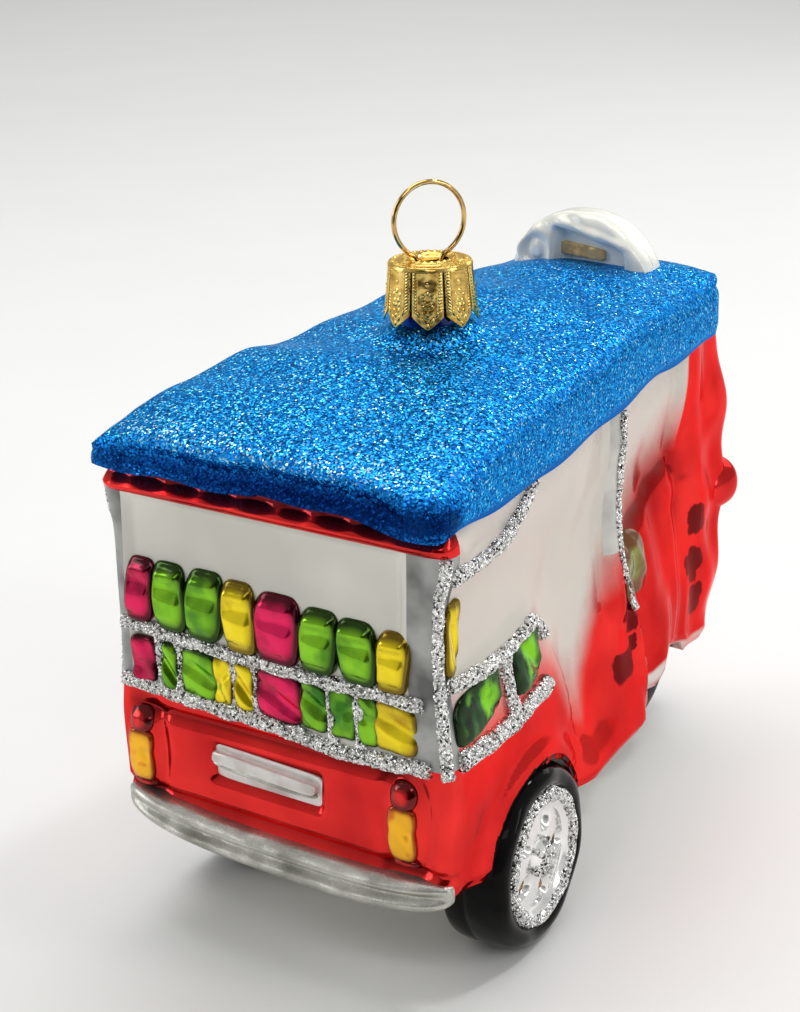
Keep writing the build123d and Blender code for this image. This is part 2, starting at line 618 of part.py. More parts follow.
def nodes():
    """Every named piece."""
    made = {}
    openings, lower, post = side_walls()
    pair("side_windows", [openings], made)
    pair("lower_sides", [lower], made)
    pair("mid_posts", [post], made)
    made["rear_posts"] = SHELL & CORNERS
    made["rear_window"] = SHELL & REAR_ZONE & block(POST_LEFT_X, POST_RIGHT_X, -5, 5, RAIL_LOW_Z, 63.8)
    made["rear_header"] = rear_header()
    made["rear_panel"] = rear_panel()
    made["number_plate"] = number_plate()
    made["rear_bumper"] = rear_bumper()
    made["rear_rail"] = rear_rail()
    side_green, side_yellow = side_rolls()
    extra = {"magenta": [], "green": [*side_green, driver_seat()], "yellow": [side_yellow]}
    for colour, side_pads in extra.items():
        upper, lower = rear_rolls(colour)
        solids = upper + [roll - made["rear_rail"] for roll in lower] + [both_sides(pad) for pad in side_pads]
        made[f"rolls_{colour}"] = Compound([solid for shape in solids for solid in shape.solids()])
    for colour, lamps in zip(("red", "amber"), tail_lamps()):
        made[f"tail_lamps_{colour}"] = Compound([solid for lamp in lamps for solid in lamp.solids()])
    trim, quarter, post_line = side_glitter()
    pair("side_glitter", [trim, quarter, corner_bead()], made)
    pair("post_glitter", [post_line], made)
    pair("wheel_arches", [wheel_arch()], made)
    pair("wheel_wells", [wheel_well()], made)
    pair("sill_flares", [sill_flare()], made)
    pair("rear_tyres", [rear_tyre()], made)
    pair("rear_hubs", [rear_hub()], made)
    pair("hub_glitter", [hub_glitter()], made)
    made["front_tyre"] = front_tyre()
    made["front_hubs"] = front_hubs()
    made["floor_pan"] = floor_pan() - made["front_tyre"]
    made["front_cowl"] = front_cowl()
    made["front_pillars"] = front_pillars()
    made["windscreen"] = windscreen()
    made["windscreen_trim"] = screen_trim()
    made["headlamp_housings"], made["headlamp_lenses"] = headlamps()
    made["grille"] = Compound([solid for bar in grille() for solid in bar.solids()])
    made["indicators"] = indicators()
    made["canopy"] = canopy()
    sign_body, made["sign_panel"] = sign()
    made["roof_sign"] = sign_body - made["canopy"]
    made["glass_neck"] = neck()
    made["cap"] = cap()
    made["hanger_wire"] = hanger()
    return made


os.makedirs("parts", exist_ok=True)
for name, shape in nodes().items():
    export_step(shape if isinstance(shape, Compound) else Compound(shape.solids()), f"parts/{name}.step")
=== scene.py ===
import random
from math import atan2, cos, exp, hypot, pi, radians, sin

import bpy
from mathutils import Matrix, Vector


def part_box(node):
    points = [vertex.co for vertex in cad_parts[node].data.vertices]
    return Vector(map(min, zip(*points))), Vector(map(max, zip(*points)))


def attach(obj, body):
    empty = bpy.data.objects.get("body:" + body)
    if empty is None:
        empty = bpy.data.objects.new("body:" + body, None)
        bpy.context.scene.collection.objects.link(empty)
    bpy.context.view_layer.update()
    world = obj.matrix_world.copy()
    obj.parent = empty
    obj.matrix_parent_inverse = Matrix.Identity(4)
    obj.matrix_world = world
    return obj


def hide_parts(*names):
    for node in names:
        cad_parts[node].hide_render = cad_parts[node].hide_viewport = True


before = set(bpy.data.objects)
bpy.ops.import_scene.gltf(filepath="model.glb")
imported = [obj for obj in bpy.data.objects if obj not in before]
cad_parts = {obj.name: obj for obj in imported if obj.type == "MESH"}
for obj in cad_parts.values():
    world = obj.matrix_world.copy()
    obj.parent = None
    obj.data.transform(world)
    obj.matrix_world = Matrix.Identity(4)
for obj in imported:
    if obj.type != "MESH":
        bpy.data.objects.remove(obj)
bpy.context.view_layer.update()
bpy.ops.object.select_all(action="DESELECT")

# ---- Studio ------------------------------------------------------------------------------------
# A sheet of white card under the ornament and a pale wall far behind it, a big soft box high on the
# left, a strip light on the right and a small bare lamp that makes the glitter and the lacquer spark.
MM = 0.001
REAR_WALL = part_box("rear_window")[0][1]


def at(s):
    """Row Y of a place s millimetres ahead of the cabin's rear wall."""
    return REAR_WALL + s * MM


def material(name, **settings):
    """A new material with its Principled shader set; returns the material, its nodes, links and shader."""
    made = bpy.data.materials.new(name)
    made.use_nodes = True
    shader = made.node_tree.nodes["Principled BSDF"]
    for socket, value in settings.items():
        shader.inputs[socket.replace("_", " ")].default_value = value
    return made, made.node_tree.nodes, made.node_tree.links, shader


def deselect():
    """Nothing selected, in object mode."""
    if bpy.context.object and bpy.context.object.mode != "OBJECT":
        bpy.ops.object.mode_set(mode="OBJECT")
    bpy.ops.object.select_all(action="DESELECT")


def settle(piece, name=None):
    """Apply a piece's place, turn and scale, so that its object sits at the origin."""
    deselect()
    piece.select_set(True)
    bpy.context.view_layer.objects.active = piece
    bpy.ops.object.transform_apply(location=True, rotation=True, scale=True)
    if name:
        piece.name = name
    return piece


bpy.ops.mesh.primitive_plane_add(size=3.0, location=(0, 0, 0))
floor = settle(bpy.context.object, "floor")
bpy.ops.object.mode_set(mode="EDIT")
bpy.ops.mesh.select_all(action="SELECT")
bpy.ops.mesh.subdivide(number_cuts=5)
bpy.ops.object.mode_set(mode="OBJECT")
card, card_nodes, card_links, card_shader = material("white_card", Roughness=0.55)
fibre = card_nodes.new("ShaderNodeTexNoise")
fibre.inputs["Scale"].default_value = 60.0
tone = card_nodes.new("ShaderNodeValToRGB")
tone.color_ramp.elements[0].color = (0.83, 0.83, 0.815, 1)
tone.color_ramp.elements[1].color = (0.87, 0.87, 0.86, 1)
card_links.new(fibre.outputs["Fac"], tone.inputs["Fac"])
card_links.new(tone.outputs["Color"], card_shader.inputs["Base Color"])
floor.data.materials.append(card)

bpy.context.scene.view_settings.view_transform = "Standard"
world = bpy.data.worlds.new("studio_air")
world.use_nodes = True
bpy.context.scene.world = world
air = world.node_tree
sky = air.nodes["Background"]
place = air.nodes.new("ShaderNodeTexCoord")
up = air.nodes.new("ShaderNodeSeparateXYZ")
shade = air.nodes.new("ShaderNodeValToRGB")
shade.color_ramp.elements[0].position = 0.30
shade.color_ramp.elements[0].color = (0.60, 0.60, 0.59, 1)
shade.color_ramp.elements[1].position = 0.52
shade.color_ramp.elements[1].color = (0.86, 0.855, 0.83, 1)
zenith = shade.color_ramp.elements.new(0.95)
zenith.color = (0.60, 0.60, 0.59, 1)
lift = air.nodes.new("ShaderNodeMath")
lift.operation = "MULTIPLY_ADD"
lift.inputs[1].default_value = 0.5
lift.inputs[2].default_value = 0.5
towards_room = air.nodes.new("ShaderNodeVectorMath")
towards_room.operation = "DOT_PRODUCT"
towards_room.inputs[1].default_value = Vector((0.48, -0.84, 0.10)).normalized()
room = air.nodes.new("ShaderNodeMapRange")
room.interpolation_type = "SMOOTHSTEP"
room.inputs["From Min"].default_value = 0.62
room.inputs["From Max"].default_value = 0.95
dim = air.nodes.new("ShaderNodeMix")
dim.data_type = "RGBA"
dim.inputs["B"].default_value = (0.05, 0.05, 0.052, 1)
air.links.new(place.outputs["Generated"], up.inputs[0])
air.links.new(place.outputs["Generated"], towards_room.inputs[0])
air.links.new(towards_room.outputs["Value"], room.inputs["Value"])
air.links.new(up.outputs["Z"], lift.inputs[0])
air.links.new(lift.outputs[0], shade.inputs["Fac"])
air.links.new(room.outputs["Result"], dim.inputs["Factor"])
air.links.new(shade.outputs["Color"], dim.inputs["A"])
air.links.new(dim.outputs["Result"], sky.inputs["Color"])
sky.inputs["Strength"].default_value = 0.64


def soft_light(name, place, aim, size, power, tint=(1, 1, 1)):
    """A rectangular soft box at place, facing aim."""
    direction = Vector(place) - Vector(aim)
    bpy.ops.object.light_add(
        type="AREA", location=place, rotation=direction.to_track_quat("Z", "Y").to_euler())
    lamp = bpy.context.object
    lamp.name = name
    lamp.data.shape = "RECTANGLE"
    lamp.data.size, lamp.data.size_y = size
    lamp.data.energy = power
    lamp.data.color = tint
    return lamp


middle = (0, 0, 0.045)
soft_light("overhead_box", (-0.15, 0.10, 0.85), middle, (0.6, 0.5), 2.9)
soft_light("left_box", (-0.75, -0.45, 0.40), middle, (0.30, 0.5), 1.7)
soft_light("right_strip", (0.75, 0.10, 0.42), middle, (0.12, 0.5), 1.2)
soft_light("spark_lamp", (0.28, 0.38, 0.75), middle, (0.10, 0.10), 1.5)
soft_light("front_fill", (0.10, 0.80, 0.40), middle, (0.5, 0.3), 0.8)
soft_light("window_box", (0.42, -0.55, 0.62), middle, (0.34, 0.26), 0.9)
soft_light("backdrop_wash", (-0.65, 1.05, 0.75), (-0.75, 1.10, 0.0), (1.2, 0.8), 2.7)

VIEW_AZIMUTH = 34.8
VIEW_ELEVATION = 19.82
VIEW_ROLL = -1.7
VIEW_DISTANCE = 0.26381
VIEW_TARGET = Vector((0.00813, at(18.43), 0.06157))
FOCAL = 72.09
turn, rise, lean = radians(VIEW_AZIMUTH), radians(VIEW_ELEVATION), radians(VIEW_ROLL)
back = Vector((sin(turn) * cos(rise), -cos(turn) * cos(rise), sin(rise)))
right = Vector((cos(turn), sin(turn), 0))
above = back.cross(right)
right, above = right * cos(lean) + above * sin(lean), above * cos(lean) - right * sin(lean)
bpy.ops.object.camera_add()
camera = bpy.context.object
camera.name = "camera"
camera.data.lens = FOCAL
camera.data.sensor_width = 36.0
camera.data.clip_start = 0.01
pose = Matrix((right, above, back)).transposed().to_4x4()
pose.translation = VIEW_TARGET + back * VIEW_DISTANCE
camera.matrix_world = pose
bpy.context.scene.camera = camera

# ---- Cabin glass -------------------------------------------------------------------------------
# The cabin is one bubble of glass blown into a mould: walls that lean in towards the nose, a waist
# below the canopy, flared sills and lips round the rear wheels.  It is silvered inside, and each
# zone is lacquered by brush or airbrush.  Sizes are in millimetres, with s measured from the rear wall.
CABIN_HALF = 27.0
CABIN_TAPER = 0.1022
CABIN_TOP = 69.0
REAR_ROUND = 2.4
FRONT_ROUND = 2.6
GLASS_WALL = 0.9
AXLE_S = 22.8
AXLE_Z = 13.0
ARCH = 14.3
LEFT_POST = -23.9
RIGHT_POST = 21.4
RED_SEAM = 35.4
HEADER_SEAM = 63.9
UNDERSIDE = [(0, 16.6), (57.0, 16.6), (62.0, 18.3), (69.0, 18.7), (70.8, 22.4), (81.0, 21.0), (85.5, 18.2),
             (100, 18.4)]


def hump(value, middle, reach):
    """A smooth bump that is 1 at middle and 0 beyond reach on both sides."""
    offset = abs(value - middle) / reach
    return 0.5 + 0.5 * cos(pi * offset) if offset < 1 else 0.0


def ramp(value, start, end):
    """A smooth step from 0 at start to 1 at end."""
    t = min(1.0, max(0.0, (value - start) / (end - start)))
    return t * t * (3 - 2 * t)


def along(points, place):
    """A soft-cornered line through (place, value) points."""
    if place <= points[0][0]:
        return points[0][1]
    for (p0, v0), (p1, v1) in zip(points, points[1:]):
        if place <= p1:
            return v0 + (v1 - v0) * (0.35 * ramp(place, p0, p1) + 0.65 * (place - p0) / (p1 - p0))
    return points[-1][1]


def cabin_half(s):
    """Half width of the cabin before its relief."""
    return CABIN_HALF - CABIN_TAPER * s


def side_relief(s, z, hand):
    """How far a side wall stands out of its plane: waist, arch lip, flared sill, folds and recesses."""
    reach = -1.7 * hump(z, 51, 15) * ramp(s, -4, 3) * (1 - ramp(s, 78, 90))
    reach += 1.0 * hump(z, 60, 12) * ramp(s, 86, 91)
    reach += (0.85 * hump(z, 63.2, 6.0) - 0.9 * hump(z, 69.0, 4.5)) * (1 - ramp(s, 3, 12))
    reach += 0.6 * hump(z, 30, 9) + 0.35 * sin(z * 0.45 + 1.0) * ramp(s, 84, 91)
    wheel = hypot(s - AXLE_S, z - AXLE_Z)
    reach += 1.3 * hump(wheel, ARCH + 0.4, 3.4)
    flare = ramp(s, 36, 41) * (1 - ramp(s, 57.5, 62.5)) * (1 - ramp(z, 18, 32))
    fold = 57.4 + (36.0 - z) * 0.22
    reach += 3.0 * flare
    reach += 1.0 * hump(s, fold, 1.9) * (1 - ramp(z, 33, 39))
    reach -= 1.5 * hump(s, fold + 3.2, 3.0) * (1 - ramp(z, 38, 44))
    reach += 0.35 * sin((s - 60) * 0.62 + 0.10 * z) * ramp(s, 61, 66) * (1 - ramp(z, 50, 60))
    reach += 0.7 * hump(s, 71.0, 4.2) * (1 - ramp(z, 28, 38))
    reach -= 0.8 * hump(s, 78.5, 3.0) * (1 - ramp(z, 44, 50)) - 0.5 * hump(z, 47, 3) * hump(s, 80, 8)
    hem = 35.9 + (32 - z) * 0.30
    soft = 1.6 + 11 * ramp(z, 34, 44)
    passenger = (ramp(s, hem - soft / 2, hem + soft / 2) * (1 - ramp(s, 49.5, 52.5))
                 * ramp(z, 17, 24) * (1 - ramp(z, 40, 60) * 0.55))
    reach -= 1.5 * passenger * (1 - 0.6 * ramp(s, 44, 52) * (1 - ramp(z, 30, 40)))
    reach += (0.12 * ramp(s, 28, 36) * (1 - ramp(s, 49, 52))
              * sin((s - 0.30 * z) * 0.55 + hand) * ramp(z, 36, 46))
    reach += 0.7 * hump(z, 45.9 + 0.05 * (s - 12), 2.8) * ramp(s, 3.5, 7.0) * (1 - ramp(s, 24.0, 30.0))
    quarter = ramp(s, 2.5, 5.0) * (1 - ramp(s, 22.5, 24.5)) * ramp(z, 60.4, 62.2)
    reach -= 0.5 * quarter
    reach += 1.0 * hump(s, 53.2, 3.4) * ramp(z, 34, 38) * (1 - 0.7 * ramp(z, 61, 66))
    driver = (ramp(s, 56.5, 58.5) * (1 - ramp(s, 76.6, 78.6))
              * ramp(z, 42 + (s - 56) * 0.42, 46 + (s - 56) * 0.42))
    reach -= 1.3 * driver
    reach += 0.5 * hump(s, 82.5, 4.5) * ramp(z, 48, 56)
    reach -= 1.1 * hump(s, 77.6, 1.8) * hump(z, 51.6, 2.6)
    reach += 0.5 * sin(s * 0.16 + z * 0.11 + hand) * ramp(s, 8, 20) * 0.6
    return reach


def rear_relief(x, z):
    """How far the rear wall is pressed in, at the pane, between the rails and at the plate."""
    inside = ramp(x, LEFT_POST, LEFT_POST + 1.6) * (1 - ramp(x, RIGHT_POST - 1.6, RIGHT_POST))
    sink = 0.6 * inside * ramp(z, 52.0, 57.0) * (1 - ramp(z, 62.6, 64.0))
    sink += 0.5 * inside * ramp(z, 36.0, 37.4) * (1 - ramp(z, 43.4, 44.6))
    sink -= 0.45 * (1 - inside) * hump(z, 50, 15)
    sink -= 0.75 * hump(z, 64.7, 1.1)
    sink += 0.8 * ramp(z, 65.2, 66.4) - 0.45 * hump((x + 60) % 5.9, 2.95, 2.2) * hump(z, 66.4, 1.4)
    sink += 0.8 * hump(z, 20.7, 1.2)
    sink -= 0.55 * hump(z, 25.0, 11.5)
    sink += 0.75 * hump(z, 33.2 + 0.018 * x, 1.5) * ramp(x, -26, -21) * (1 - ramp(x, 18, 22))
    plate = ramp(x, -11.4, -10.3) * (1 - ramp(x, 7.0, 8.1)) * ramp(z, 24.6, 25.6) * (1 - ramp(z, 30.0, 31.0))
    sink += 0.9 * plate
    for lamp in (-22.6, 20.3):
        sink += 0.5 * hump(hypot((x - lamp) / 3.6, (z - 26.8) / 7.2), 1.0, 0.5)
    return sink


def nose_reach(x, z):
    """Where the front skin stands: raked screen, full belly, and a chin that tucks in."""
    rise = (z - 50.0) / (19.2 if z > 50 else 31.6)
    reach = 98.9 - (4.0 * rise ** 1.6 if rise > 0 else 5.6 * (-rise) ** 2.4)
    reach -= 1.5 * (x / 17.0) ** 2
    screen = (ramp(x, -13.6, -12.2) * (1 - ramp(x, 12.2, 13.6))
              * ramp(z, 46.4, 48.0) * (1 - ramp(z, 65.4, 66.6)))
    return reach - 0.7 * screen + 0.5 * hump(z, 40, 6) * hump(x, 0, 12)


def rounded(gap_a, gap_b, radius):
    """Two distances in from the faces at a square corner, moved so that the corner is round."""
    if gap_a >= radius or gap_b >= radius:
        return gap_a, gap_b
    a, b = radius - gap_a, radius - gap_b
    length = hypot(a, b) or 1.0
    grow = max(a, b) / length
    return radius - a * grow, radius - b * grow


def cabin_point(corner):
    """A point of the subdivided cube, carried to its place on the moulded cabin."""
    a, b, c = corner
    s_guess = (b + 1) / 2 * 98
    low = along(UNDERSIDE, s_guess)
    z = low + (c + 1) / 2 * (CABIN_TOP + 0.022 * s_guess - low)
    x_guess = a * cabin_half(s_guess)
    nose = nose_reach(x_guess, z)
    s = s_guess if s_guess < 80 else 80 + (s_guess - 80) / 18 * (nose - 80)
    half = cabin_half(s)
    x = a * half
    gap_x, gap_s = half - abs(x), s
    gap_x, gap_s = rounded(gap_x, gap_s, REAR_ROUND)
    gap_x, gap_n = rounded(gap_x, nose - gap_s, FRONT_ROUND) if s > nose / 2 else (gap_x, nose - gap_s)
    s = nose - gap_n
    wheel = hypot(s - AXLE_S, z - AXLE_Z)
    if abs(a) == 1 and abs(wheel - ARCH) < 0.62 and z > AXLE_Z:
        s, z = AXLE_S + (s - AXLE_S) * ARCH / wheel, AXLE_Z + (z - AXLE_Z) * ARCH / wheel
    on_side = 1 - ramp(gap_x, 0, REAR_ROUND)
    on_rear = 1 - ramp(s, 0, REAR_ROUND)
    tuck = 0.9 * (1 - ramp(z - low, 0, 1.6))
    out = half - gap_x + on_side * side_relief(s, z, 1 if a > 0 else -1) - tuck * on_side
    s += on_rear * rear_relief(x, z) + tuck * on_rear
    return Vector(((out if a > 0 else -out) * MM, at(s), z * MM))


def select_faces(piece, wanted):
    """Select just the faces whose middle and normal satisfy wanted."""
    deselect()
    piece.select_set(True)
    bpy.context.view_layer.objects.active = piece
    bpy.ops.object.mode_set(mode="EDIT")
    bpy.ops.mesh.select_mode(type="FACE")
    bpy.ops.mesh.select_all(action="DESELECT")
    bpy.ops.object.mode_set(mode="OBJECT")
    for face in piece.data.polygons:
        face.select = wanted(face.center, face.normal)
    bpy.ops.object.mode_set(mode="EDIT")


def split_off(piece, name, wanted):
    """Part the wanted faces from a piece and return them as a new piece."""
    select_faces(piece, wanted)
    bpy.ops.mesh.separate(type="SELECTED")
    bpy.ops.object.mode_set(mode="OBJECT")
    parted = [other for other in bpy.context.selected_objects if other is not piece][0]
    parted.name = name
    return parted


def give_wall(piece, thickness, smooth=True):
    """Thicken a skin inwards to a glass wall and shade it."""
    deselect()
    piece.select_set(True)
    bpy.context.view_layer.objects.active = piece
    wall = piece.modifiers.new("wall", "SOLIDIFY")
    wall.thickness = thickness * MM
    wall.offset = -1
    bpy.ops.object.modifier_apply(modifier="wall")
    if smooth:
        bpy.ops.object.shade_smooth_by_angle(angle=radians(55))
    return piece


def finish_piece(piece, body, slot, nodes, look):
    """Give a piece its material and hand it to the frame."""
    piece.data.materials.clear()
    piece.data.materials.append(look)
    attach(piece, body)
    if nodes:
        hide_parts(*nodes)


def place_of(point):
    """(x, s, z) in millimetres of a point of the row."""
    return point.x / MM, (point.y - REAR_WALL) / MM, point.z / MM


# Waver of hand-blown glass: slow swells that bend reflections, and a faint clouding of the silver.
waver = bpy.data.node_groups.new("blown_waver", "ShaderNodeTree")
for socket, start in (("Swell size", 150), ("Swell depth", 0.3), ("Cloud size", 90)):
    made = waver.interface.new_socket(socket, in_out="INPUT", socket_type="NodeSocketFloat")
    made.default_value = start
waver.interface.new_socket("Normal", in_out="OUTPUT", socket_type="NodeSocketVector")
waver.interface.new_socket("Cloud", in_out="OUTPUT", socket_type="NodeSocketFloat")
inlet = waver.nodes.new("NodeGroupInput")
outlet = waver.nodes.new("NodeGroupOutput")
where = waver.nodes.new("ShaderNodeTexCoord")
swell = waver.nodes.new("ShaderNodeTexNoise")
swell.inputs["Detail"].default_value = 1.0
cloud = waver.nodes.new("ShaderNodeTexNoise")
cloud.inputs["Detail"].default_value = 3.0
dent = waver.nodes.new("ShaderNodeBump")
dent.inputs["Distance"].default_value = 0.0012
waver.links.new(where.outputs["Object"], swell.inputs["Vector"])
waver.links.new(where.outputs["Object"], cloud.inputs["Vector"])
waver.links.new(inlet.outputs["Swell size"], swell.inputs["Scale"])
waver.links.new(inlet.outputs["Cloud size"], cloud.inputs["Scale"])
waver.links.new(inlet.outputs["Swell depth"], dent.inputs["Strength"])
waver.links.new(swell.outputs["Fac"], dent.inputs["Height"])
waver.links.new(dent.outputs["Normal"], outlet.inputs["Normal"])
waver.links.new(cloud.outputs["Fac"], outlet.inputs["Cloud"])


# Painted shade: a point attribute that darkens lacquer in the cabin's recesses and round the edges of pads.
PAINTED_SHADE = "painted_shade"


def over(nodes, links, mask, below, above):
    """Socket of the colour below, turned to the colour above where mask is 1."""
    mix = nodes.new("ShaderNodeMix")
    mix.data_type = "RGBA"
    mix.inputs["B"].default_value = (*above, 1)
    links.new(mask, mix.inputs["Factor"])
    links.new(below, mix.inputs["A"])
    return mix.outputs["Result"]


def lacquer(name, deep, full, swell_size=160.0, swell_depth=0.35, cloud_size=110.0,
            spread=(0.35, 0.62), shade_colour=None, **finish):
    """Transparent lacquer over silver: cloudy between two tones, with painted shade where the shade
    attribute is set.
    """
    settings = {"Metallic": 0.9, "Roughness": 0.2, "Coat_Weight": 0.5, "Coat_Roughness": 0.05}
    settings.update(finish)
    look, nodes, links, shader = material(name, **settings)
    shader.inputs["Specular Tint"].default_value = (*(0.3 + 0.7 * part for part in full), 1)
    glass = nodes.new("ShaderNodeGroup")
    glass.node_tree = waver
    glass.inputs["Swell size"].default_value = swell_size
    glass.inputs["Swell depth"].default_value = swell_depth
    glass.inputs["Cloud size"].default_value = cloud_size
    pool = nodes.new("ShaderNodeValToRGB")
    pool.color_ramp.elements[0].position, pool.color_ramp.elements[1].position = spread
    pool.color_ramp.elements[0].color = (*deep, 1)
    pool.color_ramp.elements[1].color = (*full, 1)
    links.new(glass.outputs["Cloud"], pool.inputs["Fac"])
    tone = pool.outputs["Color"]
    # Painted shade: the tone turns to the shade colour where the painted shade attribute is set.
    if shade_colour:
        shade_share = nodes.new("ShaderNodeAttribute")
        shade_share.attribute_name = PAINTED_SHADE
        tone = over(nodes, links, shade_share.outputs["Fac"], tone, shade_colour)
    links.new(tone, shader.inputs["Base Color"])
    links.new(glass.outputs["Normal"], shader.inputs["Normal"])
    return look, nodes, links, shader, tone


candy_red = lacquer("candy_red", (0.52, 0.006, 0.008), (0.90, 0.030, 0.026), swell_size=120,
                    swell_depth=0.30,
                    cloud_size=75, spread=(0.22, 0.62), shade_colour=(0.20, 0.002, 0.003), Roughness=0.15,
                    Coat_Weight=0.22, Specular_IOR_Level=0.25)[0]


def past_height(nodes, links, shader, tone, start, end, colour):
    """Base colour going from tone to another colour between two heights, in millimetres."""
    where = nodes.new("ShaderNodeTexCoord")
    axes = nodes.new("ShaderNodeSeparateXYZ")
    share = nodes.new("ShaderNodeMapRange")
    share.inputs["From Min"].default_value = start * MM
    share.inputs["From Max"].default_value = end * MM
    links.new(where.outputs["Object"], axes.inputs[0])
    links.new(axes.outputs["Z"], share.inputs["Value"])
    links.new(over(nodes, links, share.outputs["Result"], tone, colour), shader.inputs["Base Color"])


header_red, nodes, links, shader, tone = lacquer(
    "header_red", (0.62, 0.010, 0.010), (0.88, 0.026, 0.022), swell_size=120, Roughness=0.14,
    Coat_Weight=0.3)
# Painted shade: above 65.2 mm the header goes dark red, as the shade in the recess under the canopy's
# overhang.
past_height(nodes, links, shader, tone, 65.2, 66.0, (0.20, 0.002, 0.004))
pearl_coat = lacquer("pearl_coat", (0.64, 0.63, 0.57), (0.79, 0.78, 0.71), swell_size=90, swell_depth=0.25,
                     cloud_size=40, Metallic=0.12, Roughness=0.34, Coat_Weight=0.3, Coat_Roughness=0.12)[0]
silver_paint = lacquer("silver_paint", (0.13, 0.13, 0.125), (0.42, 0.425, 0.41), swell_size=200,
                       cloud_size=120,
                       spread=(0.32, 0.54), Metallic=0.5, Roughness=0.40, Coat_Weight=0.1,
                       Coat_Roughness=0.3)[0]
# Painted light: a lighter copy of the silver paint for the mid posts, which face the brighter side.
post_silver_lit = lacquer("post_silver_lit", (0.48, 0.475, 0.445), (0.68, 0.67, 0.63), swell_size=90, cloud_size=150,
                     Metallic=0.2, Roughness=0.34, Coat_Weight=0.2, Coat_Roughness=0.2)[0]

PATCHES = [
    # s, z, reach along and up, of the places where the silver has failed behind the red
    (84.8, 40.4, 2.4, 2.4), (83.6, 33.8, 2.8, 1.8), (83.4, 33.2, 1.3, 3.0), (84.4, 27.2, 2.2, 2.6),
    (56.4, 35.2, 1.4, 2.4), (53.4, 28.4, 2.8, 2.2), (56.6, 31.0, 1.0, 1.3),
]


def bare_patches(nodes, links, tone, target, socket):
    """Dark glassy patches with ragged edges, where light goes through the red instead of coming back."""
    where = nodes.new("ShaderNodeTexCoord")
    ragged = nodes.new("ShaderNodeTexNoise")
    ragged.inputs["Scale"].default_value = 700.0
    stir = nodes.new("ShaderNodeVectorMath")
    stir.operation = "MULTIPLY_ADD"
    stir.inputs[1].default_value = (0.0016, 0.0016, 0.0016)
    links.new(where.outputs["Object"], ragged.inputs["Vector"])
    links.new(ragged.outputs["Color"], stir.inputs[0])
    links.new(where.outputs["Object"], stir.inputs[2])
    cover = None
    for s, z, along_reach, up_reach in PATCHES:
        offset = nodes.new("ShaderNodeVectorMath")
        offset.operation = "SUBTRACT"
        offset.inputs[1].default_value = (0, at(s) + 0.0008, (z + 0.8) * MM)
        scaled = nodes.new("ShaderNodeVectorMath")
        scaled.operation = "MULTIPLY"
        scaled.inputs[1].default_value = (0, 1000 / along_reach, 1000 / up_reach)
        squared = nodes.new("ShaderNodeVectorMath")
        squared.operation = "MULTIPLY"
        fourth = nodes.new("ShaderNodeVectorMath")
        fourth.operation = "DOT_PRODUCT"
        links.new(stir.outputs[0], offset.inputs[0])
        links.new(offset.outputs[0], scaled.inputs[0])
        links.new(scaled.outputs[0], squared.inputs[0])
        links.new(scaled.outputs[0], squared.inputs[1])
        links.new(squared.outputs[0], fourth.inputs[0])
        links.new(squared.outputs[0], fourth.inputs[1])
        edge = nodes.new("ShaderNodeMapRange")
        edge.inputs["From Min"].default_value = 1.25
        edge.inputs["From Max"].default_value = 0.75
        links.new(fourth.outputs["Value"], edge.inputs["Value"])
        if cover is None:
            cover = edge.outputs["Result"]
        else:
            both = nodes.new("ShaderNodeMath")
            both.operation = "MAXIMUM"
            links.new(cover, both.inputs[0])
            links.new(edge.outputs["Result"], both.inputs[1])
            cover = both.outputs[0]
    darker = nodes.new("ShaderNodeMix")
    darker.data_type = "RGBA"
    darker.inputs["B"].default_value = (0.15, 0.001, 0.004, 1)
    links.new(cover, darker.inputs["Factor"])
    links.new(tone, darker.inputs["A"])
    links.new(darker.outputs["Result"], target.inputs[socket])


# The sides are airbrushed: pearl in the openings runs down through pink into the red of the tub.
def curve_along(nodes, line):
    """A float curve node through the points (s, z) of a line, both in tenths of a metre."""
    node = nodes.new("ShaderNodeFloatCurve")
    curve = node.mapping.curves[0]
    curve.points[0].location = (line[0][0] / 100, line[0][1] / 100)
    curve.points[1].location = (line[-1][0] / 100, line[-1][1] / 100)
    for s, z in line[1:-1]:
        curve.points.new(s / 100, z / 100)
    for point in curve.points:
        point.handle_type = "VECTOR"
    node.mapping.update()
    return node


side_airbrush, nodes, links, shader, tone = lacquer(
    "side_airbrush", (0.50, 0.005, 0.007), (0.90, 0.030, 0.026), swell_size=120, swell_depth=0.30,
    cloud_size=75,
    spread=(0.22, 0.62), shade_colour=(0.26, 0.002, 0.004), Roughness=0.16, Coat_Weight=0.14,
    Specular_IOR_Level=0.25)
where = nodes.new("ShaderNodeTexCoord")
axes = nodes.new("ShaderNodeSeparateXYZ")
length_share = nodes.new("ShaderNodeMapRange")
length_share.inputs["From Min"].default_value = at(0)
length_share.inputs["From Max"].default_value = at(100)
BRUSH_LINE = [(0, 35.4), (27.6, 35.4), (31.0, 33.0), (35, 27.5), (40.5, 25.0), (46, 33.0), (51, 40.0),
              (56, 44.0), (64, 47.5), (71, 51.0), (78.5, 54.0), (79.5, 70.0), (100, 71.0)]
brush_line = curve_along(nodes, BRUSH_LINE)
above_line = nodes.new("ShaderNodeMath")
above_line.operation = "MULTIPLY_ADD"
above_line.inputs[1].default_value = -0.1
drift = nodes.new("ShaderNodeTexNoise")
drift.inputs["Scale"].default_value = 130.0
mist = nodes.new("ShaderNodeMath")
mist.operation = "MULTIPLY_ADD"
mist.inputs[1].default_value = 0.006
spray = nodes.new("ShaderNodeMapRange")
spray.interpolation_type = "SMOOTHSTEP"
spray.inputs["From Min"].default_value = 0.0015
spray.inputs["From Max"].default_value = 0.0150
blend = nodes.new("ShaderNodeMix")
blend.data_type = "RGBA"
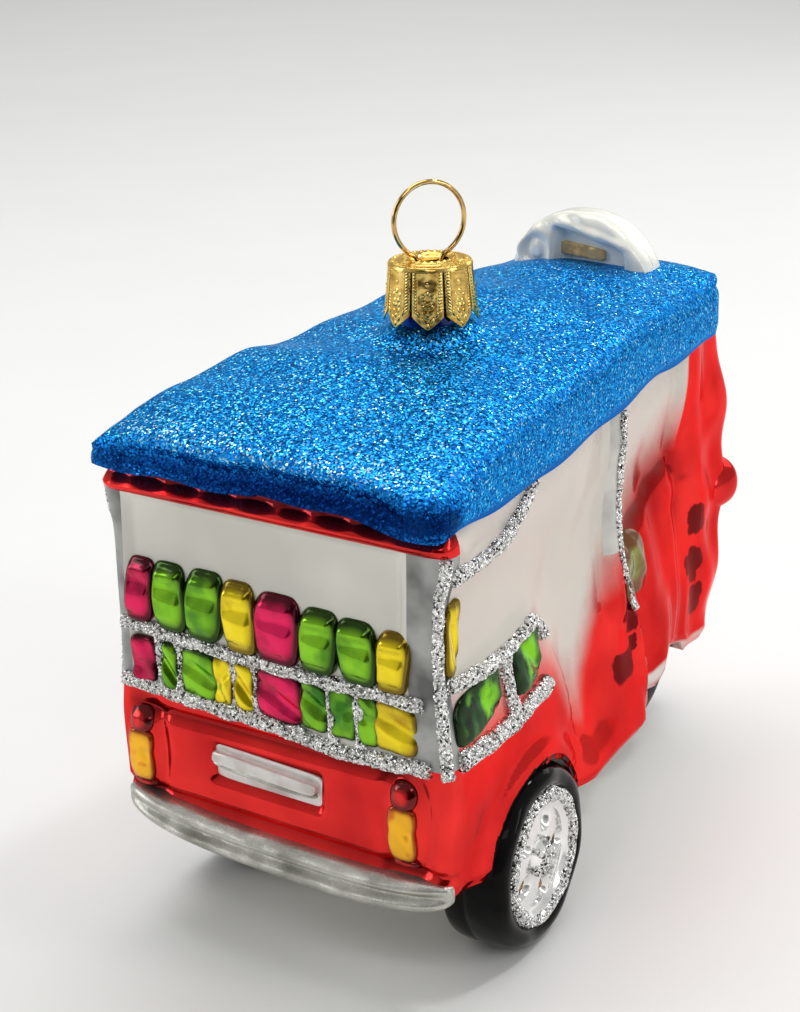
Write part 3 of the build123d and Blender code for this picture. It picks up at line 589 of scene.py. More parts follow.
blend.inputs["B"].default_value = (0.69, 0.665, 0.60, 1)
links.new(where.outputs["Object"], axes.inputs[0])
links.new(where.outputs["Object"], drift.inputs["Vector"])
links.new(axes.outputs["Y"], length_share.inputs["Value"])
links.new(length_share.outputs["Result"], brush_line.inputs["Value"])
links.new(brush_line.outputs["Value"], above_line.inputs[0])
links.new(axes.outputs["Z"], above_line.inputs[2])
links.new(drift.outputs["Fac"], mist.inputs[0])
links.new(above_line.outputs[0], mist.inputs[2])
links.new(mist.outputs[0], spray.inputs["Value"])
links.new(spray.outputs["Result"], blend.inputs["Factor"])
for socket, on_red, on_pearl in (("Metallic", 0.92, 0.16), ("Roughness", 0.15, 0.30)):
    finish_share = nodes.new("ShaderNodeMapRange")
    finish_share.inputs["To Min"].default_value = on_red
    finish_share.inputs["To Max"].default_value = on_pearl
    links.new(spray.outputs["Result"], finish_share.inputs["Value"])
    links.new(finish_share.outputs["Result"], shader.inputs[socket])
bare_patches(nodes, links, tone, blend, "A")
# The hems of the nose and of the step below the driver's door are left pearl.
HEM_LINE = [(0, 1), (61.5, 1), (63.0, 20.6), (69.5, 22.8), (71.5, 23.0), (84, 20.4), (88, 20.2), (100, 20.3)]
hem_line = curve_along(nodes, HEM_LINE)
over_hem = nodes.new("ShaderNodeMath")
over_hem.operation = "MULTIPLY_ADD"
over_hem.inputs[1].default_value = -0.1
hem_edge = nodes.new("ShaderNodeMapRange")
hem_edge.interpolation_type = "SMOOTHSTEP"
hem_edge.inputs["From Min"].default_value = 0.5 * MM
hem_edge.inputs["From Max"].default_value = -0.5 * MM
links.new(length_share.outputs["Result"], hem_line.inputs["Value"])
links.new(hem_line.outputs["Value"], over_hem.inputs[0])
links.new(axes.outputs["Z"], over_hem.inputs[2])
links.new(over_hem.outputs[0], hem_edge.inputs["Value"])
links.new(over(nodes, links, hem_edge.outputs["Result"], blend.outputs["Result"], (0.74, 0.70, 0.67)),
          shader.inputs["Base Color"])

bpy.ops.mesh.primitive_cube_add(size=2, location=(0, 0, 0))
cabin = bpy.context.object
cabin.name = "cabin_glass"
bpy.ops.object.mode_set(mode="EDIT")
bpy.ops.mesh.select_all(action="SELECT")
bpy.ops.mesh.subdivide(number_cuts=99)
bpy.ops.object.mode_set(mode="OBJECT")
# Painted shade: darker where the rear wall is pressed in and where the side walls are sunk.
painted_shade = cabin.data.attributes.new(PAINTED_SHADE, "FLOAT", "POINT")
for vertex, share in zip(cabin.data.vertices, painted_shade.data):
    vertex.co = cabin_point(vertex.co)
    x, s, z = place_of(vertex.co)
    if s < 2.7:
        share.value = 0.9 * ramp(rear_relief(x, z), 0.05, 0.75)
    else:
        share.value = 0.75 * ramp(-side_relief(s, z, 1 if x > 0 else -1), 0.9, 2.4)


def hidden_glass(middle, normal):
    """Faces that aren't there: below the canopy, and where the wheel arches open."""
    x, s, z = place_of(middle)
    under_lid = normal.z > 0.9 and z > CABIN_TOP - 0.3 + 0.022 * s
    arch = abs(x) > 16.9 and hypot(s - AXLE_S, z - AXLE_Z) < ARCH - 0.05
    return under_lid or arch


select_faces(cabin, hidden_glass)
bpy.ops.mesh.delete(type="FACE")
bpy.ops.object.mode_set(mode="OBJECT")


CORNER_DEPTH = 2.7
MID_POST = (50.9, 53.9)
MID_POST_FOOT = 46.0


def is_rear(middle, normal):
    """Whether a face belongs to the rear wall or its corners."""
    return place_of(middle)[1] < CORNER_DEPTH


rear_window = split_off(
    cabin, "rear_window_glass", lambda m, n: is_rear(m, n) and n.y < -0.3
    and LEFT_POST < place_of(m)[0] < RIGHT_POST and RED_SEAM < place_of(m)[2] < HEADER_SEAM)
rear_header = split_off(
    cabin, "rear_header_glass", lambda m, n: is_rear(m, n) and place_of(m)[2] > HEADER_SEAM)
rear_posts = split_off(cabin, "rear_post_glass", lambda m, n: is_rear(m, n) and place_of(m)[2] > RED_SEAM)
mid_posts = split_off(
    cabin, "mid_post_glass", lambda m, n: MID_POST[0] < place_of(m)[1] < MID_POST[1]
    and place_of(m)[2] > MID_POST_FOOT)
underside = split_off(cabin, "underside_glass", lambda m, n: n.z < -0.75 and place_of(m)[2] < 21.0)
front_skin = split_off(cabin, "front_glass", lambda m, n: place_of(m)[1] > 86.0)
windscreen = split_off(front_skin, "windscreen_glass", lambda m, n: n.y > 0.4 and abs(place_of(m)[0]) < 13.2
                       and 47.0 < place_of(m)[2] < 66.2)
front_pillars = split_off(front_skin, "front_pillar_glass", lambda m, n: place_of(m)[2] > 47.0)
side_windows = split_off(cabin, "side_window_glass", lambda m, n: place_of(m)[1] < 79.0 and abs(n.x) > 0.3
                         and place_of(m)[2] > along(BRUSH_LINE, place_of(m)[1]))
rear_panel = split_off(cabin, "rear_panel_glass", lambda m, n: is_rear(m, n))
for piece, slot, nodes, look in (
    (rear_window, "pearl", ["rear_window"], pearl_coat),
    (rear_header, "candy_red", ["rear_header"], header_red),
    (rear_posts, "silver_paint", ["rear_posts"], silver_paint),
    (mid_posts, "silver_paint", ["mid_posts"], post_silver_lit),
    (underside, "pearl", ["floor_pan"], pearl_coat),
    (windscreen, "pearl", ["windscreen"], pearl_coat),
    (front_pillars, "candy_red", ["front_pillars"], side_airbrush),
    (front_skin, "candy_red", ["front_cowl"], side_airbrush),
    (side_windows, "pearl", ["side_windows"], side_airbrush),
    (rear_panel, "candy_red", ["rear_panel"], candy_red),
    (cabin, "candy_red", ["lower_sides", "wheel_arches", "sill_flares"], side_airbrush),
):
    give_wall(piece, GLASS_WALL)
    finish_piece(piece, "glass", slot, nodes, look)

# ---- Canopy ------------------------------------------------------------------------------------
# The hood is the top of the same bubble: a rippled lid with soft edges that swells up to the neck.
# It is brushed with blue lacquer and strewn with fine glitter while wet, less of it along the eaves.
LID_REAR = -2.3
LID_FRONT = 95.2
LID_EDGE = [(-2.3, 70.2), (3, 71.8), (7, 73.0), (14, 74.3), (21, 75.0), (28, 75.9), (33, 75.6), (38, 75.8),
            (44, 76.4), (50, 76.9), (58, 77.6), (66, 77.3), (76, 76.8), (84, 76.9), (95.2, 77.3)]
LID_CROWN = [(-2.3, 73.6), (5, 75.3), (14, 77.2), (26, 78.6), (34, 78.7), (46, 79.4), (60, 80.2),
             (76, 80.2), (88, 79.7), (95.2, 78.3)]
LID_EAVES = [(-2.3, 66.4), (6, 66.4), (20, 65.8), (38, 66.7), (53, 67.8), (66, 68.9), (80, 68.6),
             (95.2, 69.2)]
NECK_S = 39.0


def lid_point(corner):
    """A point of the subdivided cube, carried to its place on the canopy."""
    a, b, c = corner
    s = LID_REAR + (b + 1) / 2 * (LID_FRONT - LID_REAR)
    half = cabin_half(s) + 1.15
    x = a * half
    gap_x, gap_r = rounded(half - abs(x), s - LID_REAR, 3.2)
    s = LID_REAR + gap_r
    gap_x, gap_f = rounded(gap_x, LID_FRONT - s, 7.0)
    s = LID_FRONT - gap_f
    side = 1 if a > 0 else -1
    flat_x = half - gap_x
    edge, crown, eaves = along(LID_EDGE, s), along(LID_CROWN, s), along(LID_EAVES, s)
    eaves += 0.25 * sin(flat_x * side * 0.42 + 1.2) + 0.3 * sin(s * 0.31 + side)
    eaves += (1.2 - 1.5 * ramp(flat_x * side, 10, 24)) * (1 - ramp(s, -1.0, 2.5))
    top = edge + (crown - edge) * (1 - (flat_x / half) ** 2)
    top += (0.22 * sin(s * 0.35 + 0.05 * side * flat_x) * ramp(s, 4, 12)
            + 0.15 * sin(flat_x * side * 0.3 + s * 0.12))
    z = eaves + (c + 1) / 2 * (top - eaves)
    gap_edge = min(gap_x, gap_r, gap_f)
    gap_in, gap_top = rounded(gap_edge, top - z, 2.5)
    pull = gap_in - gap_edge
    gap_in, gap_low = rounded(gap_in, z - eaves, 0.8)
    z = top - gap_top if c > 0 else eaves + gap_low
    behind = (1 - ramp(s, 0.5, 5.0)) * (1 - ramp(gap_in, 0.6, 2.4)) * (1 - 0.8 * ramp(abs(x), 19, 24))
    inward = pull + behind * (1.7 * hump(z, eaves + 2.4, 2.6) - 0.3 * hump(z, eaves + 5.6, 2.0))
    inward += 0.35 * hump(z, eaves, 2.2) * (1 - behind)
    if gap_edge == gap_r:
        s += inward
    elif gap_edge == gap_f:
        s -= inward
    if gap_edge == gap_x:
        flat_x -= inward
    neck = hypot(flat_x, s - NECK_S)
    z += (2.6 * exp(-((neck - 3.4) / 3.2) ** 2) if neck > 3.4 else 2.6) * (1 if c > 0.99 else 0)
    return Vector((side * flat_x * MM, at(s), z * MM))


# Glitter: each flake lies at its own angle in the lacquer, so each has its own tone and tilt.
flakes = bpy.data.node_groups.new("glitter_flakes", "ShaderNodeTree")
for socket, start in (("Flake size", 0.0003), ("Tilt", 0.8)):
    flakes.interface.new_socket(socket, in_out="INPUT", socket_type="NodeSocketFloat").default_value = start
flakes.interface.new_socket("Tone", in_out="OUTPUT", socket_type="NodeSocketFloat")
flakes.interface.new_socket("Spark", in_out="OUTPUT", socket_type="NodeSocketFloat")
flakes.interface.new_socket("Normal", in_out="OUTPUT", socket_type="NodeSocketVector")
inlet = flakes.nodes.new("NodeGroupInput")
outlet = flakes.nodes.new("NodeGroupOutput")
where = flakes.nodes.new("ShaderNodeTexCoord")
divide = flakes.nodes.new("ShaderNodeMath")
divide.operation = "DIVIDE"
divide.inputs[0].default_value = 1.0
cells = flakes.nodes.new("ShaderNodeTexVoronoi")
parts = flakes.nodes.new("ShaderNodeSeparateColor")
centred = flakes.nodes.new("ShaderNodeVectorMath")
centred.operation = "SUBTRACT"
centred.inputs[1].default_value = (0.5, 0.5, 0.5)
tilted = flakes.nodes.new("ShaderNodeVectorMath")
tilted.operation = "SCALE"
surface = flakes.nodes.new("ShaderNodeNewGeometry")
leaning = flakes.nodes.new("ShaderNodeVectorMath")
leaning.operation = "ADD"
unit = flakes.nodes.new("ShaderNodeVectorMath")
unit.operation = "NORMALIZE"
flakes.links.new(inlet.outputs["Flake size"], divide.inputs[1])
flakes.links.new(where.outputs["Object"], cells.inputs["Vector"])
flakes.links.new(divide.outputs[0], cells.inputs["Scale"])
flakes.links.new(cells.outputs["Color"], parts.inputs[0])
flakes.links.new(cells.outputs["Color"], centred.inputs[0])
flakes.links.new(centred.outputs[0], tilted.inputs[0])
flakes.links.new(inlet.outputs["Tilt"], tilted.inputs["Scale"])
flakes.links.new(surface.outputs["Normal"], leaning.inputs[0])
flakes.links.new(tilted.outputs[0], leaning.inputs[1])
flakes.links.new(leaning.outputs[0], unit.inputs[0])
flakes.links.new(parts.outputs[0], outlet.inputs["Tone"])
flakes.links.new(parts.outputs[1], outlet.inputs["Spark"])
flakes.links.new(unit.outputs[0], outlet.inputs["Normal"])


COVER = "glitter_cover"
REAR_SHADE = "rear_painted_shade"


def glitter(name, tones, flake_size, tilt, **finish):
    """A coat of glitter: tones run from the darkest flake to the brightest."""
    look, nodes, links, shader = material(name, **finish)
    strewn = nodes.new("ShaderNodeGroup")
    strewn.node_tree = flakes
    strewn.inputs["Flake size"].default_value = flake_size
    strewn.inputs["Tilt"].default_value = tilt
    colours = nodes.new("ShaderNodeValToRGB")
    ramp_stops = colours.color_ramp
    ramp_stops.elements[0].position, ramp_stops.elements[0].color = tones[0][0], (*tones[0][1], 1)
    ramp_stops.elements[1].position, ramp_stops.elements[1].color = tones[-1][0], (*tones[-1][1], 1)
    for stop, colour in tones[1:-1]:
        ramp_stops.elements.new(stop).color = (*colour, 1)
    links.new(strewn.outputs["Tone"], colours.inputs["Fac"])
    links.new(colours.outputs["Color"], shader.inputs["Base Color"])
    links.new(strewn.outputs["Normal"], shader.inputs["Normal"])
    return look, nodes, links, shader, colours, strewn


blue_glitter, nodes, links, shader, colours, strewn = glitter(
    "blue_glitter",
    [(0.0, (0.000, 0.020, 0.130)), (0.22, (0.004, 0.100, 0.420)), (0.60, (0.010, 0.230, 0.740)),
     (0.88, (0.020, 0.430, 0.960)), (0.965, (0.16, 0.74, 1.0)), (1.0, (0.70, 0.95, 1.0))],
    0.00023, 0.80, Metallic=0.9, Roughness=0.32, Specular_Tint=(0.3, 0.7, 1.0, 1))
# Painted shade: in the groove behind the rear lip the flakes are turned darker, more so to the right, and
# along the ridge above it a little lighter, as a painted highlight.
shade = nodes.new("ShaderNodeAttribute")
shade.attribute_name = REAR_SHADE
sunk = nodes.new("ShaderNodeMath")
sunk.operation = "MULTIPLY_ADD"
sunk.inputs[1].default_value = -0.85
links.new(shade.outputs["Fac"], sunk.inputs[0])
links.new(strewn.outputs["Tone"], sunk.inputs[2])
links.new(sunk.outputs[0], colours.inputs["Fac"])
# Along the eaves the brush left a band of plain blue lacquer with hardly any glitter on it.
band = nodes.new("ShaderNodeAttribute")
band.attribute_name = COVER
plain = nodes.new("ShaderNodeMix")
plain.data_type = "RGBA"
plain.inputs["A"].default_value = (0.015, 0.090, 0.420, 1)
links.new(band.outputs["Fac"], plain.inputs["Factor"])
links.new(colours.outputs["Color"], plain.inputs["B"])
links.new(plain.outputs["Result"], shader.inputs["Base Color"])
level = nodes.new("ShaderNodeNewGeometry")
lean = nodes.new("ShaderNodeMix")
lean.data_type = "VECTOR"
links.new(band.outputs["Fac"], lean.inputs["Factor"])
links.new(level.outputs["Normal"], lean.inputs["A"])
links.new(strewn.outputs["Normal"], lean.inputs["B"])
links.new(lean.outputs["Result"], shader.inputs["Normal"])
bpy.ops.mesh.primitive_cube_add(size=2, location=(0, 0, 0))
canopy = bpy.context.object
canopy.name = "canopy_glass"
bpy.ops.object.mode_set(mode="EDIT")
bpy.ops.mesh.select_all(action="SELECT")
bpy.ops.mesh.subdivide(number_cuts=99)
bpy.ops.object.mode_set(mode="OBJECT")
for vertex in canopy.data.vertices:
    vertex.co = lid_point(vertex.co)
cover = canopy.data.attributes.new(COVER, "FLOAT", "POINT")
for vertex, share in zip(canopy.data.vertices, cover.data):
    x, s, z = place_of(vertex.co)
    share.value = ramp(z - along(LID_EAVES, s), 0.4, 1.4) if s > 2.5 else 1.0
# Painted shade behind the rear lip, with a small painted highlight (negative values) along the ridge above.
rear_shade_layer = canopy.data.attributes.new(REAR_SHADE, "FLOAT", "POINT")
for vertex, share in zip(canopy.data.vertices, rear_shade_layer.data):
    x, s, z = place_of(vertex.co)
    depth = hump(z, 68.4, 3.4) * (0.6 + 0.5 * ramp(x, -16, 8)) - 0.12 * hump(z, 72.9, 1.6)
    share.value = depth * (1 - ramp(s, 1.5, 4.0))
bpy.ops.object.shade_smooth_by_angle(angle=radians(60))
finish_piece(canopy, "glass", "glitter_blue", ["canopy"], blue_glitter)

# ---- Seat rolls and cushions -------------------------------------------------------------------
# The seat back is a row of upholstered rolls seen through the rear pane, with cushions between the
# rails and more at the side.  Each is a puffed relief in the glass, brushed with clear metallic lacquer.
LACQUERS = {
    "green": lacquer("lacquer_green", (0.030, 0.170, 0.006), (0.25, 0.60, 0.016), 240, 0.45, 170,
                     (0.34, 0.54),
                     shade_colour=(0.006, 0.020, 0.002), Metallic=0.8, Roughness=0.14, Coat_Weight=0.3)[0],
    "yellow": lacquer("lacquer_yellow", (0.52, 0.34, 0.003), (0.95, 0.75, 0.010), 240, 0.45, 170,
                      (0.32, 0.48),
                      shade_colour=(0.13, 0.075, 0.002), Metallic=0.7, Roughness=0.15, Coat_Weight=0.3)[0],
    "magenta": lacquer("lacquer_magenta", (0.26, 0.001, 0.030), (0.82, 0.012, 0.110), 240, 0.45, 170,
                       (0.34, 0.54),
                       shade_colour=(0.035, 0.001, 0.006), Metallic=0.8, Roughness=0.14, Coat_Weight=0.3)[0],
    "bottle": lacquer("bottle_green", (0.003, 0.016, 0.001), (0.24, 0.66, 0.010), 260, 0.8, 230,
                      (0.46, 0.60),
                      shade_colour=(0.004, 0.015, 0.002), Metallic=0.85, Roughness=0.12, Coat_Weight=0.3)[0],
}


def on_rear(x, z, proud=0.0):
    """A place on the rear wall, proud millimetres outside it."""
    return Vector((x * MM, at(rear_relief(x, z) - proud), z * MM))


def on_side(s, z, proud=0.0, hand=1):
    """A place on a side wall, proud millimetres outside it."""
    return Vector((hand * (cabin_half(s) + side_relief(s, z, hand) + proud) * MM, at(s), z * MM))


def join(pieces, name):
    """Several pieces made one."""
    deselect()
    for piece in pieces:
        piece.select_set(True)
    bpy.context.view_layer.objects.active = pieces[0]
    if len(pieces) > 1:
        bpy.ops.object.join()
    pieces[0].name = name
    return pieces[0]


def puff(centre, size, squareness, shape, cuts=15, crown=(0, -1, 0)):
    """A padded form: a cube subdivided and sculpted by shape; painted shade darkens it away from its crown.
    """
    bpy.ops.mesh.primitive_cube_add(size=2, location=(0, 0, 0))
    pad = bpy.context.object
    bpy.ops.object.mode_set(mode="EDIT")
    bpy.ops.mesh.select_all(action="SELECT")
    bpy.ops.mesh.subdivide(number_cuts=cuts)
    bpy.ops.object.mode_set(mode="OBJECT")
    painted_shade = pad.data.attributes.new(PAINTED_SHADE, "FLOAT", "POINT")
    for vertex, share in zip(pad.data.vertices, painted_shade.data):
        a, b, c = vertex.co
        swell = (abs(a) ** squareness + abs(b) ** squareness + abs(c) ** squareness) ** (-1 / squareness)
        share.value = 0.94 * ramp(1 - swell * vertex.co.dot(Vector(crown)), 0.0, 0.18) if crown else 0.0
        vertex.co = shape(a * swell, b * swell, c * swell, centre, size)
    bpy.ops.object.shade_smooth()
    return pad


def rear_roll(a, b, c, centre, size):
    """A seat-back roll: tall, fullest below its shoulder, with a pressed line down its left edge."""
    x, z = centre
    width, height = size
    across = x + a * width / 2 * (1 + 0.04 * sin(c * 4 + x)) + 0.3 * c * sin(x * 1.7)
    up = z + c * height / 2
    proud = 1.5 * max(0.0, -b) - 1.5 * max(0.0, b)
    frame_line = max(abs(a + 0.06), abs(c - 0.04))
    proud -= 0.28 * hump(frame_line, 0.80, 0.20) * (b < 0)
    proud -= ((0.46 * hump(c, 0.26, 0.38) - 0.30 * hump(c, 0.66, 0.34))
              * (1 - ramp(abs(a), 0.5, 0.85)) * (b < 0))
    proud += 0.10 * sin(c * 3 + a * 2 + x) * (b < 0)
    return Vector((across * MM, at(0.75 * hump(up, 56, 6) - proud * 0.98), up * MM))


def rear_cushion(a, b, c, centre, size):
    """A cushion between the rails: lower, with a dimple."""
    x, z = centre
    width, height = size
    across, up = x + a * width / 2, z + c * height / 2
    proud = 0.95 * max(0.0, -b) - 1.3 * max(0.0, b)
    proud -= (0.40 * hump(c + 0.5 * a * sin(x), 0.15 * sin(x * 3), 0.5) * (b < 0)
              + 0.12 * sin(a * 3 + c * 4 + x))
    return Vector((across * MM, at(0.35 - proud), up * MM))


def side_pad(a, b, c, centre, size):
    """A pad on the side wall, tapering towards its lower rear corner."""
    s, z = centre
    length, height = size
    hand = 1 if s > 0 else -1
    s = abs(s)
    forward, up = s + b * length / 2, z + c * height / 2 + 0.12 * b * length * 0.5
    a *= hand
    proud = 1.0 * max(0.0, a) - 1.3 * max(0.0, -a)
    proud -= 0.75 * hump(b + 0.7 * c, 0.25, 0.45) * (a > 0) - 0.16 * sin(b * 5 + c * 4)
    return on_side(forward, up, proud * 0.85, hand)


ROLLS = [
    # left edge, right edge, foot, top, lacquer
    (-23.7, -18.8, 46.0, 55.0, "magenta"), (-19.1, -13.2, 45.6, 55.1, "green"),
    (-13.6, -7.1, 45.4, 55.2, "green"),
    (-7.4, -1.6, 45.0, 54.8, "yellow"), (-2.2, 5.4, 44.9, 54.4, "magenta"), (5.0, 11.2, 45.0, 53.8, "green"),
    (10.9, 17.2, 45.0, 53.5, "green"), (16.9, 22.0, 45.0, 53.2, "yellow"),
]
CUSHION_Z = 40.1
CUSHION_TALL = 6.8
CUSHIONS = [
    # left edge, right edge, lacquer
    (-23.7, -19.5, "magenta"), (-18.4, -15.6, "green"), (-15.0, -9.0, "green"), (-9.4, -6.4, "yellow"),
    (-6.0, -2.8, "yellow"), (-2.4, 5.0, "magenta"), (4.7, 9.0, "green"), (9.4, 13.4, "green"),
    (13.8, 16.8, "green"), (16.2, 22.6, "yellow"),
]
SIDE_PADS = [
    # middle (s, z), length and height, lacquer
    ((8.6, 41.2), (12.4, 6.4), "bottle"), ((23.0, 41.6), (8.6, 7.0), "bottle"),
    ((3.7, 52.2), (3.4, 10.0), "yellow"),
]
for colour, look in LACQUERS.items():
    pads = []
    for left, right, foot, top, own in ROLLS:
        if own == colour:
            pads.append(puff(((left + right) / 2, (foot + top) / 2),
                             (right - left, top - foot), 4.0, rear_roll, 23))
    for left, right, own in CUSHIONS:
        if own == colour:
            pads.append(puff(((left + right) / 2, CUSHION_Z), (right - left, CUSHION_TALL),
                             6.0, rear_cushion))
    for (s, z), size, own in SIDE_PADS:
        if own == colour:
            for hand in (1, -1):
                pads.append(puff((s * hand, z), size, 4.0, side_pad, 15, (hand, 0, 0)))
    rolls = join(pads, "rolls_" + colour + "_glass")
    slot = "lacquer_green" if colour == "bottle" else "lacquer_" + colour
    finish_piece(rolls, "glass", slot, ["rolls_" + colour] if colour != "bottle" else [], look)
olive = lacquer("olive_lacquer", (0.16, 0.070, 0.014), (0.28, 0.38, 0.05), 260, 0.5, 170, (0.38, 0.62),
                shade_colour=(0.20, 0.055, 0.022), Metallic=0.5, Roughness=0.2)[0]
seats = [puff((60.0 * hand, 41.2), (8.8, 10.6), 2.3, side_pad, 15, (hand, 0, 0)) for hand in (1, -1)]
finish_piece(join(seats, "driver_seat_glass"), "glass", "lacquer_green", [], olive)

# ---- Glitter lines -----------------------------------------------------------------------------
# Lines of glue drawn by hand over the moulded rails, the quarter arc, the arm rail, the posts and the
# screen, and dusted with coarse silver glitter.  They stand proud, uneven and crusty with flakes.
silver_glitter = glitter(
    "silver_glitter",
    [(0.0, (0.04, 0.04, 0.038)), (0.12, (0.20, 0.20, 0.19)), (0.24, (0.62, 0.62, 0.60)),
     (0.70, (0.90, 0.90, 0.88)), (1.0, (1.0, 1.0, 1.0))],
    0.00030, 1.0, Metallic=0.85, Roughness=0.26)[0]
shake = random.Random(11)
CRUST_GRAIN = 0.19
CRUST_ROUGH = 0.12


def glue_line(places, width):
    """A line of glue through places, thick and thin by turns."""
    bpy.ops.curve.primitive_nurbs_path_add(location=(0, 0, 0))
    line = bpy.context.object
    line.data.splines.clear()
    run = line.data.splines.new("NURBS")
    run.points.add(len(places) - 1)
    for point, spot in zip(run.points, places):
        point.co = (*spot, 1)
        point.radius = shake.uniform(0.86, 1.14)
    run.order_u = 3
    run.use_endpoint_u = True
    run.resolution_u = 3
    line.data.bevel_depth = width / 2 * MM
    line.data.bevel_resolution = 2
    line.data.use_fill_caps = True
    deselect()
    line.select_set(True)
    bpy.context.view_layer.objects.active = line
    bpy.ops.object.convert(target="MESH")
    return line


def crust(lines, name, grain=CRUST_GRAIN, rough=CRUST_ROUGH):
    """Glue lines joined, remeshed to the grain of the glitter and roughened flake by flake."""
    line = join(lines, name)
    grid = line.modifiers.new("grain", "REMESH")
    grid.mode = "VOXEL"
    grid.voxel_size = grain * MM
    bpy.ops.object.modifier_apply(modifier="grain")
    for vertex in line.data.vertices:
        vertex.co += Vector([shake.uniform(-rough, rough) * MM for _ in range(3)])
    bpy.ops.object.shade_flat()
    return line


def spaced(points, step=1.6):
    """Points added along straight runs, so that a line can follow the wall."""
    run = [points[0]]
    for (u0, v0), (u1, v1) in zip(points, points[1:]):
        count = max(1, round(hypot(u1 - u0, v1 - v0) / step))
        run += [(u0 + (u1 - u0) * n / count, v0 + (v1 - v0) * n / count) for n in range(1, count + 1)]
    return run


def wobble(run, amount=0.22):
    """A hand's waver on a line's points."""
    return [(u + shake.uniform(-amount, amount), v + shake.uniform(-amount, amount)) for u, v in run]


REAR_LINES = [
    ([(-24.6, 45.3), (-20.0, 45.1), (-13.4, 44.7), (-2.2, 44.3), (8.4, 44.0), (16.1, 44.4), (23.6, 44.2)],
     2.1),
    ([(-25.2, 36.7), (-16.9, 36.3), (-8.4, 35.9), (1.0, 35.8), (10.5, 34.9), (17.0, 35.0), (24.6, 35.4)],
     2.1),
    ([(-18.9, 45.0), (-18.6, 40.0), (-18.9, 36.6)], 1.6), ([(-15.6, 44.4), (-15.4, 40.0), (-15.4, 36.4)],
                                                           1.5),
    ([(-6.4, 43.4), (-6.1, 40.0), (-6.2, 36.0)], 1.5), ([(-3.4, 43.6), (-2.8, 40.0), (-2.4, 36.0)], 1.5),
    ([(8.6, 43.6), (9.2, 41.0), (9.8, 35.2)], 1.5), ([(13.4, 44.0), (13.6, 40.0), (14.2, 35.2)], 1.7),
]
rear_lines = []
for points, width in REAR_LINES:
    rear_lines.append(glue_line([on_rear(x, z, 0.12) for x, z in wobble(spaced(points))], width))
finish_piece(crust(rear_lines, "rear_rail_glitter"), "glass", "glitter_silver",
             ["rear_rail"], silver_glitter)

SIDE_LINES = [
    ([(2.0, 61.0), (7.0, 60.3), (12.2, 60.2), (18.9, 60.6), (22.4, 62.0), (24.2, 64.0), (24.9, 66.0)], 2.0),
    ([(2.4, 46.2), (5.6, 45.6), (10.0, 45.4), (16.6, 45.3), (22.0, 45.8), (26.0, 46.0), (28.6, 44.6),
      (29.6, 42.2)], 2.1),
    ([(2.6, 36.2), (9.0, 35.4), (14.0, 35.2), (20.4, 35.6), (26.0, 35.9), (28.8, 36.4)], 2.5),
    ([(16.4, 45.0), (16.9, 40.5), (17.6, 36.0)], 2.2),
]
POST_LINE = [(54.8, 66.7), (53.4, 63.0), (52.9, 60.0), (54.6, 52.4), (54.6, 45.6), (56.4, 39.6),
             (57.4, 36.0)]
for hand, side in ((1, "right"), (-1, "left")):
    lines = [glue_line([on_side(s, z, 0.08, hand) for s, z in wobble(spaced(points))], width)
             for points, width in SIDE_LINES]
    corner_s, inset = (0.62, 0.75) if hand > 0 else (2.3, 0.25)
    corner = [Vector((hand * (CABIN_HALF - inset + side_relief(0, z, hand)) * MM, at(corner_s), z * MM))
              for u, z in wobble(spaced([(0, 34.6), (0, 63.6)]), 0.1)]
    lines.append(glue_line(corner, 1.75))
    finish_piece(crust(lines, side + "_rail_glitter"), "glass", "glitter_silver",
                 ["side_glitter"], silver_glitter)
    post = glue_line([on_side(s, z, 0.1, hand) for s, z in wobble(spaced(POST_LINE), 0.12)], 1.25)
    finish_piece(crust([post], side + "_post_glitter"), "glass", "glitter_silver",
                 ["post_glitter"], silver_glitter)

SCREEN_FRAME = [(-13.8, 46.4), (-13.9, 56.0), (-13.6, 66.3), (0.0, 66.4), (13.6, 66.3), (13.9, 56.0),
                (13.8, 46.4), (0.0, 46.2), (-13.8, 46.4)]
screen_line = [Vector((x * MM, at(nose_reach(x, z) + 0.05), z * MM))
               for x, z in wobble(spaced(SCREEN_FRAME), 0.1)]
finish_piece(crust([glue_line(screen_line, 1.4)], "screen_glitter"), "glass", "glitter_silver",
             ["windscreen_trim"], silver_glitter)

# ---- Tail lamps, plate and bumper --------------------------------------------------------------
# The lamps are moulded bosses: a ruby bulb over a tall amber glass in a pressed surround.  The plate
# is bare silvered glass in its pocket under a lamp bar, and the bumper is a ribbed roll in pewter paint.
ruby = lacquer("ruby_lamp", (0.30, 0.003, 0.004), (0.80, 0.016, 0.014), 400, 0.5, 420, (0.30, 0.60),
               shade_colour=(0.12, 0.001, 0.002), Metallic=0.8, Roughness=0.10, Coat_Weight=0.5)[0]
amber = lacquer("lacquer_amber", (0.72, 0.16, 0.002), (1.0, 0.50, 0.008), 300, 0.5, 260, (0.34, 0.44),
                shade_colour=(0.30, 0.020, 0.001), Metallic=0.6, Roughness=0.12, Coat_Weight=0.4)[0]
LAMPS_X = (-22.9, 20.2)
PLATE_X = -1.6
PLATE_Z = 27.7


def lamp_bulb(a, b, c, centre, size):
    """The round ruby bulb at the top of a lamp."""
    x, z = centre
    up = z + c * size[1] / 2
    return on_rear(x + a * size[0] / 2, up, -b * 1.0 - 0.15)


